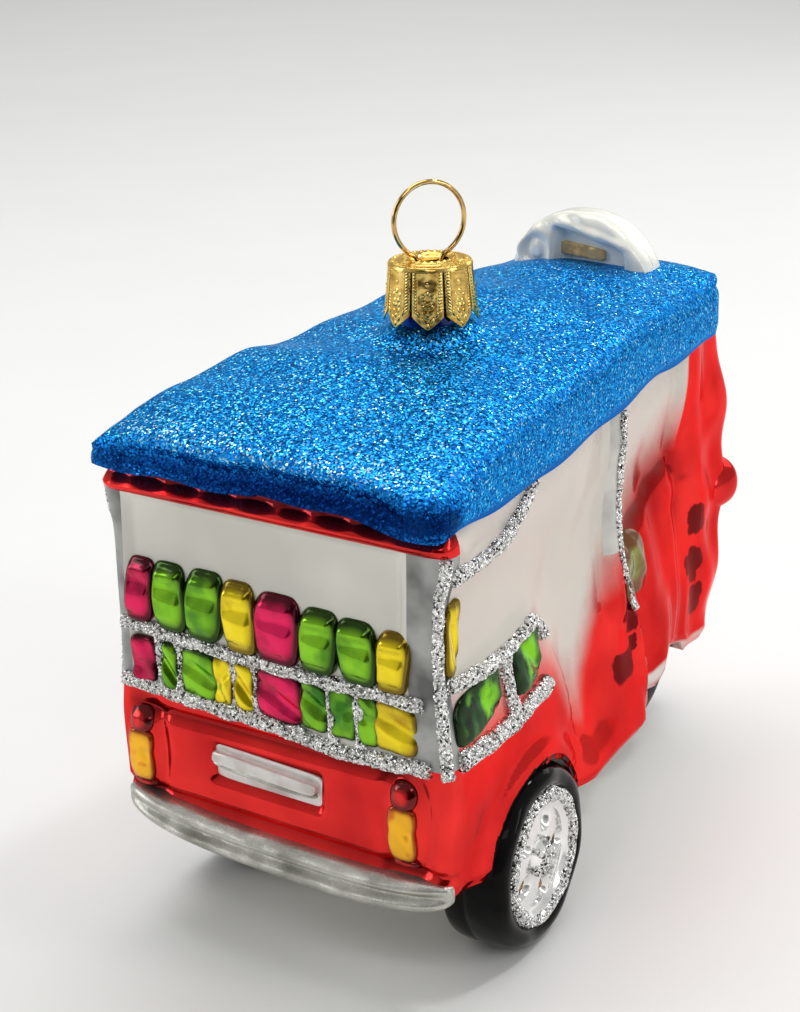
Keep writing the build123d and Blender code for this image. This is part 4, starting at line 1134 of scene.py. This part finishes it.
def lamp_glass(a, b, c, centre, size):
    """The amber glass: a tall pad pinched twice, with a dent near its middle."""
    x, z = centre
    width = size[0] * (1 - 0.10 * hump(c, 0.15, 0.35) - 0.12 * hump(c, -1, 0.5))
    proud = -b * 0.75 - 0.1 - 0.35 * hump(hypot(a - 0.5, (c - 0.12) * 1.6), 0, 0.6) * (b < 0)
    return on_rear(x + a * width / 2, z + c * size[1] / 2, proud)


bulbs, glasses = [], []
for x in LAMPS_X:
    bulbs.append(puff((x, 31.0), (4.2, 4.0), 2.3, lamp_bulb))
    bulbs.append(puff((x + 0.3, 21.6), (4.0, 1.7), 3.0, lamp_bulb))
    glasses.append(puff((x, 25.7), (4.4, 7.6), 5.5, lamp_glass))
finish_piece(join(bulbs, "tail_lamp_bulbs"), "glass", "candy_red", ["tail_lamps_red"], ruby)
finish_piece(join(glasses, "tail_lamp_ambers"), "glass", "lacquer_amber", ["tail_lamps_amber"], amber)


def plate_skin(a, b, c, centre, size):
    """The plate: nearly flat, lying in its pocket."""
    x, z = centre
    rake = -0.03 * a * size[0] / 2
    return Vector(((x + a * size[0] / 2) * MM, at(0.62 + b * 0.3), (z + c * size[1] / 2 + rake) * MM))


def plate_bar(a, b, c, centre, size):
    """The lamp bar along the plate: a half-round rail over a flat ledge."""
    x, z = centre
    rake = -0.045 * a * size[0] / 2
    depth = -0.25 + b * 0.75 + 0.25 * c
    return Vector(((x + a * size[0] / 2) * MM, at(depth), (z + c * size[1] / 2 + rake) * MM))


plate_silver = lacquer("plate_silver", (0.60, 0.53, 0.50), (0.86, 0.83, 0.80), 300, 0.3, 240, (0.3, 0.55),
                       Metallic=0.30, Roughness=0.28, Coat_Weight=0.4)[0]
plate = join([
    puff((PLATE_X, PLATE_Z - 0.1), (17.7, 5.0), 12.0, plate_skin, 11),
    puff((PLATE_X - 0.2, PLATE_Z + 0.85), (17.0, 1.5), 7.0, plate_bar, 15),
], "number_plate_glass")
finish_piece(plate, "glass", "silvered", ["number_plate"], plate_silver)

pewter, nodes, links, shader, tone = lacquer(
    "pewter_paint", (0.36, 0.355, 0.315), (0.76, 0.755, 0.70), 200, 0.4, 160, (0.3, 0.65), Metallic=0.85,
    Roughness=0.34, Coat_Weight=0.1, Coat_Roughness=0.3)
grain = nodes.new("ShaderNodeTexNoise")
grain.inputs["Scale"].default_value = 4200.0
grain.inputs["Detail"].default_value = 2.0
where = nodes.new("ShaderNodeTexCoord")
pits = nodes.new("ShaderNodeBump")
pits.inputs["Strength"].default_value = 0.35
pits.inputs["Distance"].default_value = 0.00012
speckle = nodes.new("ShaderNodeMix")
speckle.data_type = "RGBA"
speckle.blend_type = "MULTIPLY"
speckle.inputs["Factor"].default_value = 0.55
glass = [node for node in nodes if node.type == "GROUP"][0]
links.new(where.outputs["Object"], grain.inputs["Vector"])
links.new(grain.outputs["Fac"], pits.inputs["Height"])
links.new(glass.outputs["Normal"], pits.inputs["Normal"])
links.new(pits.outputs["Normal"], shader.inputs["Normal"])
links.new(tone, speckle.inputs["A"])
links.new(grain.outputs["Fac"], speckle.inputs["B"])
brighten = nodes.new("ShaderNodeMix")
brighten.data_type = "RGBA"
brighten.blend_type = "ADD"
brighten.inputs["Factor"].default_value = 1.0
brighten.inputs["B"].default_value = (0.06, 0.06, 0.055, 1)
links.new(speckle.outputs["Result"], brighten.inputs["A"])
links.new(brighten.outputs["Result"], shader.inputs["Base Color"])
ledge = puff((PLATE_X - 0.2, PLATE_Z - 0.15), (17.2, 0.8), 3.0, plate_bar, 15)
ledge.name = "plate_ledge_paint"
finish_piece(ledge, "glass", "silver_paint", [], pewter)


def bumper_form(a, b, c, centre, size):
    """The bumper: a sagging roll with two ribs, its ends turned up and rounded."""
    x = 0.3 + a * size[0] / 2
    lift = 1.3 * abs(a) ** 3.2 - 0.55 * (1 - a * a) - 0.35 * a
    height = size[1] * (1 - 0.16 * abs(a) ** 4)
    z = centre[1] + lift + c * height / 2
    depth = 2.75 * (1 - 0.35 * abs(a) ** 6)
    ribs = (0.60 * hump(c, 0.50, 0.50) + 0.45 * hump(c, -0.45, 0.5) - 0.75 * hump(c, 0.02, 0.42)) * (b < 0)
    s = 0.9 + (b if b < 0 else b * 0.2) * depth * (1.1 if b < 0 else 1) + -ribs * (1 - abs(a) ** 8)
    return Vector((x * MM, at(max(-2.98, s)), z * MM))


bumper = puff((0, 17.35), (53.2, 5.5), 4.6, bumper_form, 71)
finish_piece(bumper, "glass", "silver_paint", ["rear_bumper"], pewter)
bumper.name = "rear_bumper_glass"

# ---- Wheels ------------------------------------------------------------------------------------
# The wheels are lobes of the same glass in gloss black.  Each rear hub is left mirror silver with five
# pressed hollows, glitter round its rim and a star of glitter on its boss; nothing turns.
HUB_RIM = 8.9
gloss_black = lacquer("gloss_black", (0.003, 0.003, 0.003), (0.010, 0.009, 0.009), 150, 0.45, 200,
                      (0.3, 0.7),
                      Metallic=0.0, Roughness=0.08, Coat_Weight=0.0, Specular_IOR_Level=0.14)[0]
mirror_silver = lacquer("mirror_silver", (0.80, 0.80, 0.79), (0.95, 0.95, 0.94), 160, 0.06, 300, (0.3, 0.5),
                        Metallic=0.8, Roughness=0.14, Coat_Weight=0.3)[0]
pit_amber = lacquer("pit_amber", (0.015, 0.004, 0.001), (0.46, 0.22, 0.02), 700, 0.9, 600, (0.42, 0.64),
                    Metallic=0.8, Roughness=0.12)[0]


def turned(profile, axis, foot, steps=96):
    """A profile of (radius, along) points spun about an axis through foot, its doubles merged."""
    bpy.ops.curve.primitive_nurbs_path_add(location=(0, 0, 0))
    line = bpy.context.object
    line.data.splines.clear()
    run = line.data.splines.new("NURBS")
    run.points.add(len(profile) - 1)
    side = Vector((0, 0, 1)) if axis.z == 0 else Vector((1, 0, 0))
    for point, (radius, along_axis) in zip(run.points, profile):
        point.co = (*(foot + side * radius * MM + axis * along_axis * MM), 1)
    run.order_u = 3
    run.use_endpoint_u = True
    run.resolution_u = 4
    deselect()
    line.select_set(True)
    bpy.context.view_layer.objects.active = line
    bpy.ops.object.convert(target="MESH")
    bpy.ops.object.mode_set(mode="EDIT")
    bpy.ops.mesh.select_all(action="SELECT")
    bpy.ops.mesh.spin(steps=steps, angle=2 * pi, center=foot, axis=axis)
    bpy.ops.mesh.select_all(action="SELECT")
    bpy.ops.mesh.remove_doubles(threshold=0.00002)
    bpy.ops.mesh.normals_make_consistent(inside=False)
    bpy.ops.object.mode_set(mode="OBJECT")
    bpy.ops.object.shade_smooth_by_angle(angle=radians(50))
    return line


def polar_skin(rings, turns, reach, surface, name):
    """A round skin: a grid wrapped into a disc of the given reach and raised by surface(radius, angle)."""
    bpy.ops.mesh.primitive_grid_add(x_subdivisions=turns, y_subdivisions=rings, size=2, location=(0, 0, 0))
    skin = bpy.context.object
    skin.name = name
    for vertex in skin.data.vertices:
        angle = (vertex.co.x + 1) * pi
        radius = (vertex.co.y + 1) / 2 * reach
        vertex.co = surface(radius, angle)
    bpy.ops.object.mode_set(mode="EDIT")
    bpy.ops.mesh.select_all(action="SELECT")
    bpy.ops.mesh.remove_doubles(threshold=0.00001)
    bpy.ops.mesh.normals_make_consistent(inside=False)
    bpy.ops.object.mode_set(mode="OBJECT")
    bpy.ops.object.shade_smooth()
    return skin


REAR_TYRE = [(11.4, 18.0), (12.6, 18.1), (13.0, 19.6), (13.0, 21.0), (12.75, 21.7), (13.0, 22.4),
             (13.0, 24.6),
             (12.8, 26.2), (12.0, 27.5), (10.9, 27.8), (9.9, 27.4), (9.2, 26.6), (9.0, 25.6)]


def hub_surface(hand, twist):
    """The hub's face as a surface: a rolled lip, spokes between five hollows, and a boss."""
    def surface(radius, angle):
        spoke = (angle + twist) % (2 * pi / 5) - pi / 5
        rise = (0.9 * hump(radius, 8.5, 1.4) + 0.9 * (1 - ramp(radius, 1.0, 3.0))
                + 0.25 * (1 - ramp(radius, 2, 8)))
        hollow = hypot((radius - 5.3) / 1.9, radius * spoke / 1.45)
        rise -= 0.95 * (1 - ramp(hollow, 0.5, 1.15))
        return Vector((hand * (26.5 + rise) * MM, at(AXLE_S) + radius * sin(angle) * MM,
                       (AXLE_Z + radius * cos(angle)) * MM))
    return surface


def ring_line(centre, radius, width, across, up, wander=0.25, points=38):
    """A closed-looking ring of glue round centre."""
    spots = []
    for n in range(points + 1):
        angle = 2 * pi * n / points
        reach = (radius + shake.uniform(-wander, wander)) * MM
        spots.append(centre + across * reach * cos(angle) + up * reach * sin(angle))
    spots[-1] = spots[0]
    return glue_line(spots, width)


Y_AXIS, Z_AXIS = Vector((0, 1, 0)), Vector((0, 0, 1))
tyres, hubs, pits, ring_pieces = [], [], [], []
for hand in (1, -1):
    axis = Vector((hand, 0, 0))
    hub_middle = Vector((0, at(AXLE_S), AXLE_Z * MM))
    tyre = turned(REAR_TYRE, axis, hub_middle)
    for vertex in tyre.data.vertices:
        reach = hypot(vertex.co.y - hub_middle.y, vertex.co.z - hub_middle.z) / MM
        angle = atan2(vertex.co.y - hub_middle.y, vertex.co.z - hub_middle.z)
        dent = 0.10 * sin(angle * 7 + 1) * ramp(reach, 9.5, 11.5) * (1 - ramp(reach, 12.4, 12.9))
        vertex.co.x += hand * (dent - 0.1) * MM
    tyres.append(tyre)
    hubs.append(polar_skin(46, 200, 9.4, hub_surface(hand, 0.25 * hand), "hub"))
    for n in (1, 2, 3):
        angle = 2 * pi / 5 * n + pi / 5 - 0.25 * hand

        def pit_shape(a, b, c, centre, size):
            """A drop of amber at the bottom of a hollow."""
            radius = 5.1 + c * 1.15
            across = b * 0.75 * (1 + 0.35 * c)
            return Vector((hand * (25.75 + 0.25 * a) * MM,
                           at(AXLE_S) + (radius * sin(angle) + across * cos(angle)) * MM,
                           (AXLE_Z + radius * cos(angle) - across * sin(angle)) * MM))

        pits.append(puff((0, 0), (1, 1), 3.0, pit_shape, 7))
    rim_middle = hub_middle + axis * 27.15 * MM
    lines = [ring_line(rim_middle, HUB_RIM, 1.75, Y_AXIS, Z_AXIS)]
    boss = hub_middle + axis * 27.7 * MM
    for n in range(5):
        angle = 2 * pi / 5 * n + 0.4 * hand
        tip = boss + (Y_AXIS * sin(angle) + Z_AXIS * cos(angle)) * 2.9 * MM - axis * 0.5 * MM
        lines.append(glue_line([boss, boss.lerp(tip, 0.5), tip], 1.0))
    ring_pieces.append(crust(lines, ("right" if hand > 0 else "left") + "_hub_glitter", 0.16, 0.10))
TOE = radians(4.4)


def toe_out(piece, hand):
    """Turn a wheel's piece to lie along the tapered side, set in to keep its face where it was."""
    centre = Vector((hand * 23.0 * MM, at(AXLE_S), 0))
    turn = Matrix.Rotation(hand * TOE, 3, "Z")
    for vertex in piece.data.vertices:
        vertex.co = centre + turn @ (vertex.co - centre) - Vector((hand * 0.45 * MM, 0, 0))


for pair_of_pieces in (tyres, hubs, ring_pieces):
    for piece, hand in zip(pair_of_pieces, (1, -1)):
        toe_out(piece, hand)
for number, piece in enumerate(pits):
    toe_out(piece, 1 if number < len(pits) / 2 else -1)
finish_piece(join(tyres, "rear_tyre_glass"), "glass", "lacquer_black", ["rear_tyres"], gloss_black)
finish_piece(join(hubs, "rear_hub_glass"), "glass", "silvered", ["rear_hubs"], mirror_silver)
finish_piece(join(pits, "hub_hollows"), "glass", "lacquer_amber", [], pit_amber)
for piece in ring_pieces:
    finish_piece(piece, "glass", "glitter_silver", ["hub_glitter"], silver_glitter)

FRONT_TYRE = [(5.8, 6.3), (6.6, 6.1), (7.4, 6.4), (9.6, 6.6), (11.4, 6.3), (12.35, 5.0), (12.5, 3.2),
              (12.25, 2.0), (12.5, 0.8), (12.5, 0.0)]
FRONT_AXLE_S = 88.5
FRONT_TYRE_R = 12.5
front_middle = Vector((0, at(FRONT_AXLE_S), FRONT_TYRE_R * MM))
front_tyre = turned(FRONT_TYRE + [(r, -x) for r, x in reversed(FRONT_TYRE)], Vector((1, 0, 0)), front_middle)
finish_piece(front_tyre, "glass", "lacquer_black", ["front_tyre"], gloss_black)
front_tyre.name = "front_tyre_glass"
FRONT_HUB = [(0.0, 7.2), (0.9, 7.25), (1.6, 7.0), (2.0, 6.5), (3.6, 6.35), (4.9, 6.6), (5.4, 7.1),
             (6.1, 7.1), (6.5, 6.5), (6.5, 5.8)]
discs = [turned(FRONT_HUB, Vector((hand, 0, 0)), front_middle, 64) for hand in (1, -1)]
finish_piece(join(discs, "front_hub_glass"), "glass", "silvered", ["front_hubs"], mirror_silver)
WELL_WALL = [(14.9, 27.0), (14.4, 26.6), (14.3, 24.0), (14.3, 18.6), (13.6, 17.8), (0.0, 17.8)]
wells = [turned(WELL_WALL, Vector((hand, 0, 0)), Vector((0, at(AXLE_S), AXLE_Z * MM))) for hand in (1, -1)]


def outside_well(middle, normal):
    """The part of a wheel well that would hang below the floor or stand outside the wall."""
    x, s, z = place_of(middle)
    return z < 16.7 or abs(x) > cabin_half(s) + side_relief(s, z, 1) - 0.25


for well in wells:
    select_faces(well, outside_well)
    bpy.ops.mesh.delete(type="FACE")
    bpy.ops.object.mode_set(mode="OBJECT")
well = give_wall(join(wells, "wheel_well_glass"), 0.6)
finish_piece(well, "glass", "lacquer_black", ["wheel_wells"], gloss_black)

# ---- Headlamps and nose ------------------------------------------------------------------------
# Two round lamps bulge from the front corners, red behind and mirror silver in front.  The nose has
# three silver bars and a pair of small amber lamps, all moulded in relief and picked out by brush.
LAMP_SEAT = (14.9, 96.8, 42.6)


def lamp_ball(a, b, c, centre, size):
    """A headlamp: a squat ball, flattened in front, with a ring where its lens would be."""
    hand = centre[0]
    x = hand * (LAMP_SEAT[0] + a * hand * 4.3)
    forward = LAMP_SEAT[1] + b * (7.0 if b < 0 else 3.6)
    forward -= 0.35 * hump(hypot(a, c), 0.72, 0.12) * (b > 0)
    return Vector((x * MM, at(forward), (LAMP_SEAT[2] + c * 4.3) * MM))


housings, lenses = [], []
for hand in (1, -1):
    housing = puff((hand, 0), (1, 1), 2.15, lamp_ball, 31, None)
    lenses.append(split_off(housing, "lens", lambda m, n: place_of(m)[1] > 98.6))
    housings.append(housing)
finish_piece(join(housings, "headlamp_glass"), "glass", "candy_red", ["headlamp_housings"], candy_red)
finish_piece(join(lenses, "headlamp_lens_glass"), "glass", "silvered", ["headlamp_lenses"], mirror_silver)


def nose_bar(a, b, c, centre, size):
    """A silver bar moulded across the nose, following its curve."""
    x, z = a * size[0] / 2, centre[1] + c * size[1] / 2
    return Vector((x * MM, at(nose_reach(x, z) + b * 0.8 - 0.1), z * MM))


def nose_lamp(a, b, c, centre, size):
    """A small round lamp on the nose."""
    x, z = centre[0] + a * 1.9, centre[1] + c * 1.9
    return Vector((x * MM, at(nose_reach(x, z) + b * 1.05 - 0.1), z * MM))


bars = [puff((0, z), (width, 1.5), 3.5, nose_bar, 23)
        for z, width in ((30.8, 13.0), (28.0, 12.2), (25.2, 11.4))]
finish_piece(join(bars, "grille_bars"), "glass", "silver_paint", ["grille"], pewter)
winkers = [puff((hand * 11.6, 27.8), (1, 1), 2.2, nose_lamp, 15, (0, 1, 0)) for hand in (1, -1)]
finish_piece(join(winkers, "front_indicators"), "glass", "lacquer_amber", ["indicators"], amber)

# ---- Roof sign ---------------------------------------------------------------------------------
# The sign over the windscreen is an opal-white hump with a curled end, hollowed at the back, where a
# strip of tan lacquer marks the blank panel.
SIGN_BACK = 82.5
SIGN_DEPTH = 7.0


def sign_form(a, b, c, centre, size):
    """The sign: its outline is the hump, its back has the pocket and the curl."""
    x = -2.1 + a * 12.1
    away = abs(x + 2.6) / (11.9 if x < -2.6 else 12.7)
    top = 78.4 + 8.8 * max(0.0, 1 - away ** 2.3) ** 0.75
    z = 76.6 + (c + 1) / 2 * (top - 76.6)
    s = SIGN_BACK + SIGN_DEPTH / 2 + b * SIGN_DEPTH / 2
    if b < 0:
        arch = 84.9 - 0.26 * (x + 5.0)
        pocket = ramp(x, -6.3, -5.2) * (1 - ramp(x, 5.4, 6.4)) * (1 - ramp(z, arch - 0.9, arch + 0.2))
        s += 2.1 * pocket - 0.5 * hump(z, arch + 0.9, 1.0) * ramp(x, -6.5, -4) * (1 - ramp(x, 5, 8))
        curl = hypot(x + 9.4, (z - 80.8) * 0.9)
        s += 0.55 * hump(curl, 1.6, 0.9) - 0.45 * hump(curl, 3.1, 1.0) * (x < -6)
        s += 0.25 * sin(x * 1.3 + z * 0.8) * (1 - pocket)
    return Vector((x * MM, at(s), z * MM))


opal = lacquer("opal_white", (0.76, 0.77, 0.68), (0.92, 0.91, 0.82), 240, 0.3, 140, (0.3, 0.6), Metallic=0.0,
               Roughness=0.22, Coat_Weight=0.6, Coat_Roughness=0.04)[0]
tan = lacquer("tan_lacquer", (0.42, 0.24, 0.075), (0.70, 0.50, 0.22), 500, 0.5, 420, (0.3, 0.6),
              Metallic=0.15, Roughness=0.24)[0]
sign = puff((0, 0), (1, 1), 4.5, sign_form, 55)
sign.name = "roof_sign_glass"
finish_piece(sign, "glass", "pearl", ["roof_sign"], opal)


def panel_form(a, b, c, centre, size):
    """The tan strip, a little uneven, low in the pocket."""
    x = -1.7 + a * 3.9
    return Vector((x * MM, at(84.35 + b * 0.35), (80.9 - 0.09 * x + c * (0.95 - 0.12 * a)) * MM))


panel = puff((0, 0), (1, 1), 7.0, panel_form, 11)
panel.name = "sign_panel_lacquer"
finish_piece(panel, "glass", "lacquer_yellow", ["sign_panel"], tan)

# ---- Crown cap and hanger ----------------------------------------------------------------------
# The cap is pressed from thin brass: a disc with two rings of beads and a slot, and eight pointed
# petals with beaded edges and a leaf motif.  A loop of springy brass wire goes through the slot.
CAP_TOP = 89.4
CAP_FOOT = 80.9
CAP_R = 5.9
SKIRT_R = 6.6
CAP_TURN = radians(58)
PETAL_TURN = radians(6.6)
NECK_X, NECK_Y = 0.0, at(NECK_S)

gold = lacquer(
    "pressed_gold", (0.50, 0.29, 0.05), (0.95, 0.67, 0.19), 600, 0.2, 520, (0.3, 0.6), Metallic=1.0,
    Roughness=0.20, Coat_Weight=0.25)[0]


def cap_point(radius, angle, height):
    """A place on the cap, by radius, angle and height."""
    return Vector((NECK_X + radius * cos(angle) * MM, NECK_Y + radius * sin(angle) * MM, height * MM))


def cap_disc(radius, angle):
    """The disc: a raised middle, two rings of beads and a rolled shoulder."""
    rise = 0.40 * hump(radius, 3.5, 1.3) - 0.30 * (1 - ramp(radius, 2.1, 2.9))
    rise += 0.17 * hump(radius, 5.05, 0.42) * hump(angle * 36 / (2 * pi) % 1, 0.5, 0.42)
    rise += 0.15 * hump(radius, 3.55, 0.40) * hump(angle * 24 / (2 * pi) % 1, 0.5, 0.42)
    rise += 0.10 * hump(radius, 4.35, 0.22)
    shoulder = max(0.0, radius - 5.45)
    return cap_point(min(radius, 5.45 + 0.45 * sin(min(1.57, shoulder))), angle,
                     CAP_TOP - 0.15 + rise - 0.62 * (1 - cos(min(1.57, shoulder * 1.3))))


MOTIF = [(0, 0.20, 0.5), (0, 0.36, 0.9), (-0.30, 0.44, 0.55), (0.30, 0.44, 0.55), (-0.16, 0.53, 0.5),
         (0.16, 0.53, 0.5),
         (-0.26, 0.62, 0.6), (0.26, 0.62, 0.6), (0, 0.60, 0.5), (-0.20, 0.72, 0.5), (0.20, 0.72, 0.5),
         (0, 0.78, 0.6)]


def petal_relief(u, v):
    """The embossing on a petal: beaded edges, a beaded tip and a leaf of small dots."""
    rise = 0.15 * (hump(abs(u), 0.80, 0.16)) * hump(v * 15 % 1, 0.5, 0.42) * (v < 0.84)
    rise += 0.05 * hump(abs(u), 0.58, 0.08) * (v < 0.86)
    tip = v + 0.16 * abs(u) / 0.8
    rise += 0.17 * hump(tip, 0.93, 0.05) * hump((u + 1) * 3.5 % 1, 0.5, 0.42) * (abs(u) < 0.72)
    for spot_u, spot_v, size in MOTIF:
        rise += 0.17 * size * hump(hypot((u - spot_u) * 2.2, (v - spot_v) * 8.0), 0, 0.36)
    return rise


petals = []
for number in range(8):
    middle = PETAL_TURN + radians(45) * number + radians(22.5) - radians(90)
    flare = shake.uniform(-0.05, 0.12)
    bpy.ops.mesh.primitive_grid_add(x_subdivisions=40, y_subdivisions=84, size=2, location=(0, 0, 0))
    petal = bpy.context.object
    for vertex in petal.data.vertices:
        u, v = vertex.co.x, (1 - vertex.co.y) / 2
        low = CAP_FOOT + 1.75 * abs(u) ** 1.15
        height = CAP_TOP - 0.75 + v * (low - CAP_TOP + 0.75)
        drop = (CAP_TOP - height) / (CAP_TOP - CAP_FOOT)
        radius = CAP_R + (SKIRT_R - CAP_R + flare) * drop ** 1.2 + petal_relief(u, v) - 0.16
        radius -= 0.12 * u * u
        radius = min(radius, SKIRT_R + 0.14)
        vertex.co = cap_point(radius, middle + u * radians(21.2 - 0.6 * drop), height)
    bpy.ops.object.mode_set(mode="EDIT")
    bpy.ops.mesh.select_all(action="SELECT")
    bpy.ops.mesh.normals_make_consistent(inside=False)
    bpy.ops.object.mode_set(mode="OBJECT")
    outward = petal.data.polygons[900].normal.dot(petal.data.polygons[900].center - cap_point(0, 0, 85)) > 0
    if not outward:
        bpy.ops.object.mode_set(mode="EDIT")
        bpy.ops.mesh.flip_normals()
        bpy.ops.object.mode_set(mode="OBJECT")
    bpy.ops.object.shade_smooth()
    petals.append(petal)
disc = polar_skin(52, 216, 6.6, cap_disc, "cap_disc")
if disc.data.polygons[len(disc.data.polygons) // 2].normal.z < 0:
    bpy.ops.object.mode_set(mode="EDIT")
    bpy.ops.mesh.select_all(action="SELECT")
    bpy.ops.mesh.flip_normals()
    bpy.ops.object.mode_set(mode="OBJECT")
give_wall(disc, 0.16, smooth=False)
bpy.ops.mesh.primitive_cube_add(size=1, location=(NECK_X, NECK_Y, CAP_TOP * MM), rotation=(0, 0, CAP_TURN),
                                scale=(0.0052, 0.00125, 0.003))
punch = bpy.context.object
slot = disc.modifiers.new("slot", "BOOLEAN")
slot.operation = "DIFFERENCE"
slot.object = punch
deselect()
disc.select_set(True)
bpy.context.view_layer.objects.active = disc
bpy.ops.object.modifier_apply(modifier="slot")
deselect()
punch.select_set(True)
bpy.ops.object.delete()
skirt = give_wall(join(petals, "cap_petals"), 0.16, smooth=False)
cap_piece = join([skirt, disc], "crown_cap")
finish_piece(cap_piece, "cap", "gold_cap", ["cap"], gold)

WIRE_R = 0.35
LOOP_R = 5.2
LOOP_Z = 94.6
brass_wire = lacquer("brass_wire", (0.34, 0.185, 0.05), (0.80, 0.54, 0.20), 500, 0.15, 300, (0.3, 0.6),
                     Metallic=1.0, Roughness=0.13, Coat_Weight=0.2)[0]


def wire_point(across, height):
    """A place on the hanger's plane."""
    return cap_point(across, CAP_TURN, height)


LOOP_SEAM = 0.75
start = -pi / 2 + LOOP_SEAM / 2
loop = [wire_point((LOOP_R + 0.012) * cos(start + (2 * pi - LOOP_SEAM) * n / 40),
                   LOOP_Z - 0.01 + (LOOP_R + 0.008) * sin(start + (2 * pi - LOOP_SEAM) * n / 40))
        for n in range(41)]
leg_right = [wire_point(2.75, 77.8), wire_point(2.6, 80.5), wire_point(1.9, 85.6), wire_point(1.35, 88.2)]
leg_left = [wire_point(-1.35, 88.2), wire_point(-1.9, 85.6), wire_point(-2.6, 80.5), wire_point(-2.75, 77.8)]
bpy.ops.curve.primitive_nurbs_path_add(location=(0, 0, 0))
hanger = bpy.context.object
hanger.data.splines.clear()
run = hanger.data.splines.new("NURBS")
route = leg_right + loop + leg_left
run.points.add(len(route) - 1)
for point, spot in zip(run.points, route):
    point.co = (*spot, 1)
run.order_u = 4
run.use_endpoint_u = True
run.resolution_u = 4
hanger.data.bevel_depth = WIRE_R * MM
hanger.data.bevel_resolution = 5
hanger.data.use_fill_caps = True
deselect()
hanger.select_set(True)
bpy.context.view_layer.objects.active = hanger
bpy.ops.object.convert(target="MESH")
bpy.ops.object.shade_smooth_by_angle(angle=radians(50))
hanger.name = "brass_hanger"
finish_piece(hanger, "hanger", "gold_cap", ["hanger_wire"], brass_wire)

# The neck is silvered inside; the roof's blue runs up its foot as far as the points of the petals, painted
# very dark there as the shade under the petals.
silvered_neck, nodes, links, shader, tone = lacquer(
    "silvered_neck", (0.50, 0.50, 0.49), (0.86, 0.86, 0.85), 300, 0.4, 200, (0.3, 0.6), Metallic=1.0,
    Roughness=0.12)
past_height(nodes, links, shader, tone, 83.4, 82.6, (0.001, 0.020, 0.110))
neck = bpy.data.objects["glass_neck"]
for place in neck.material_slots:
    place.material = silvered_neck
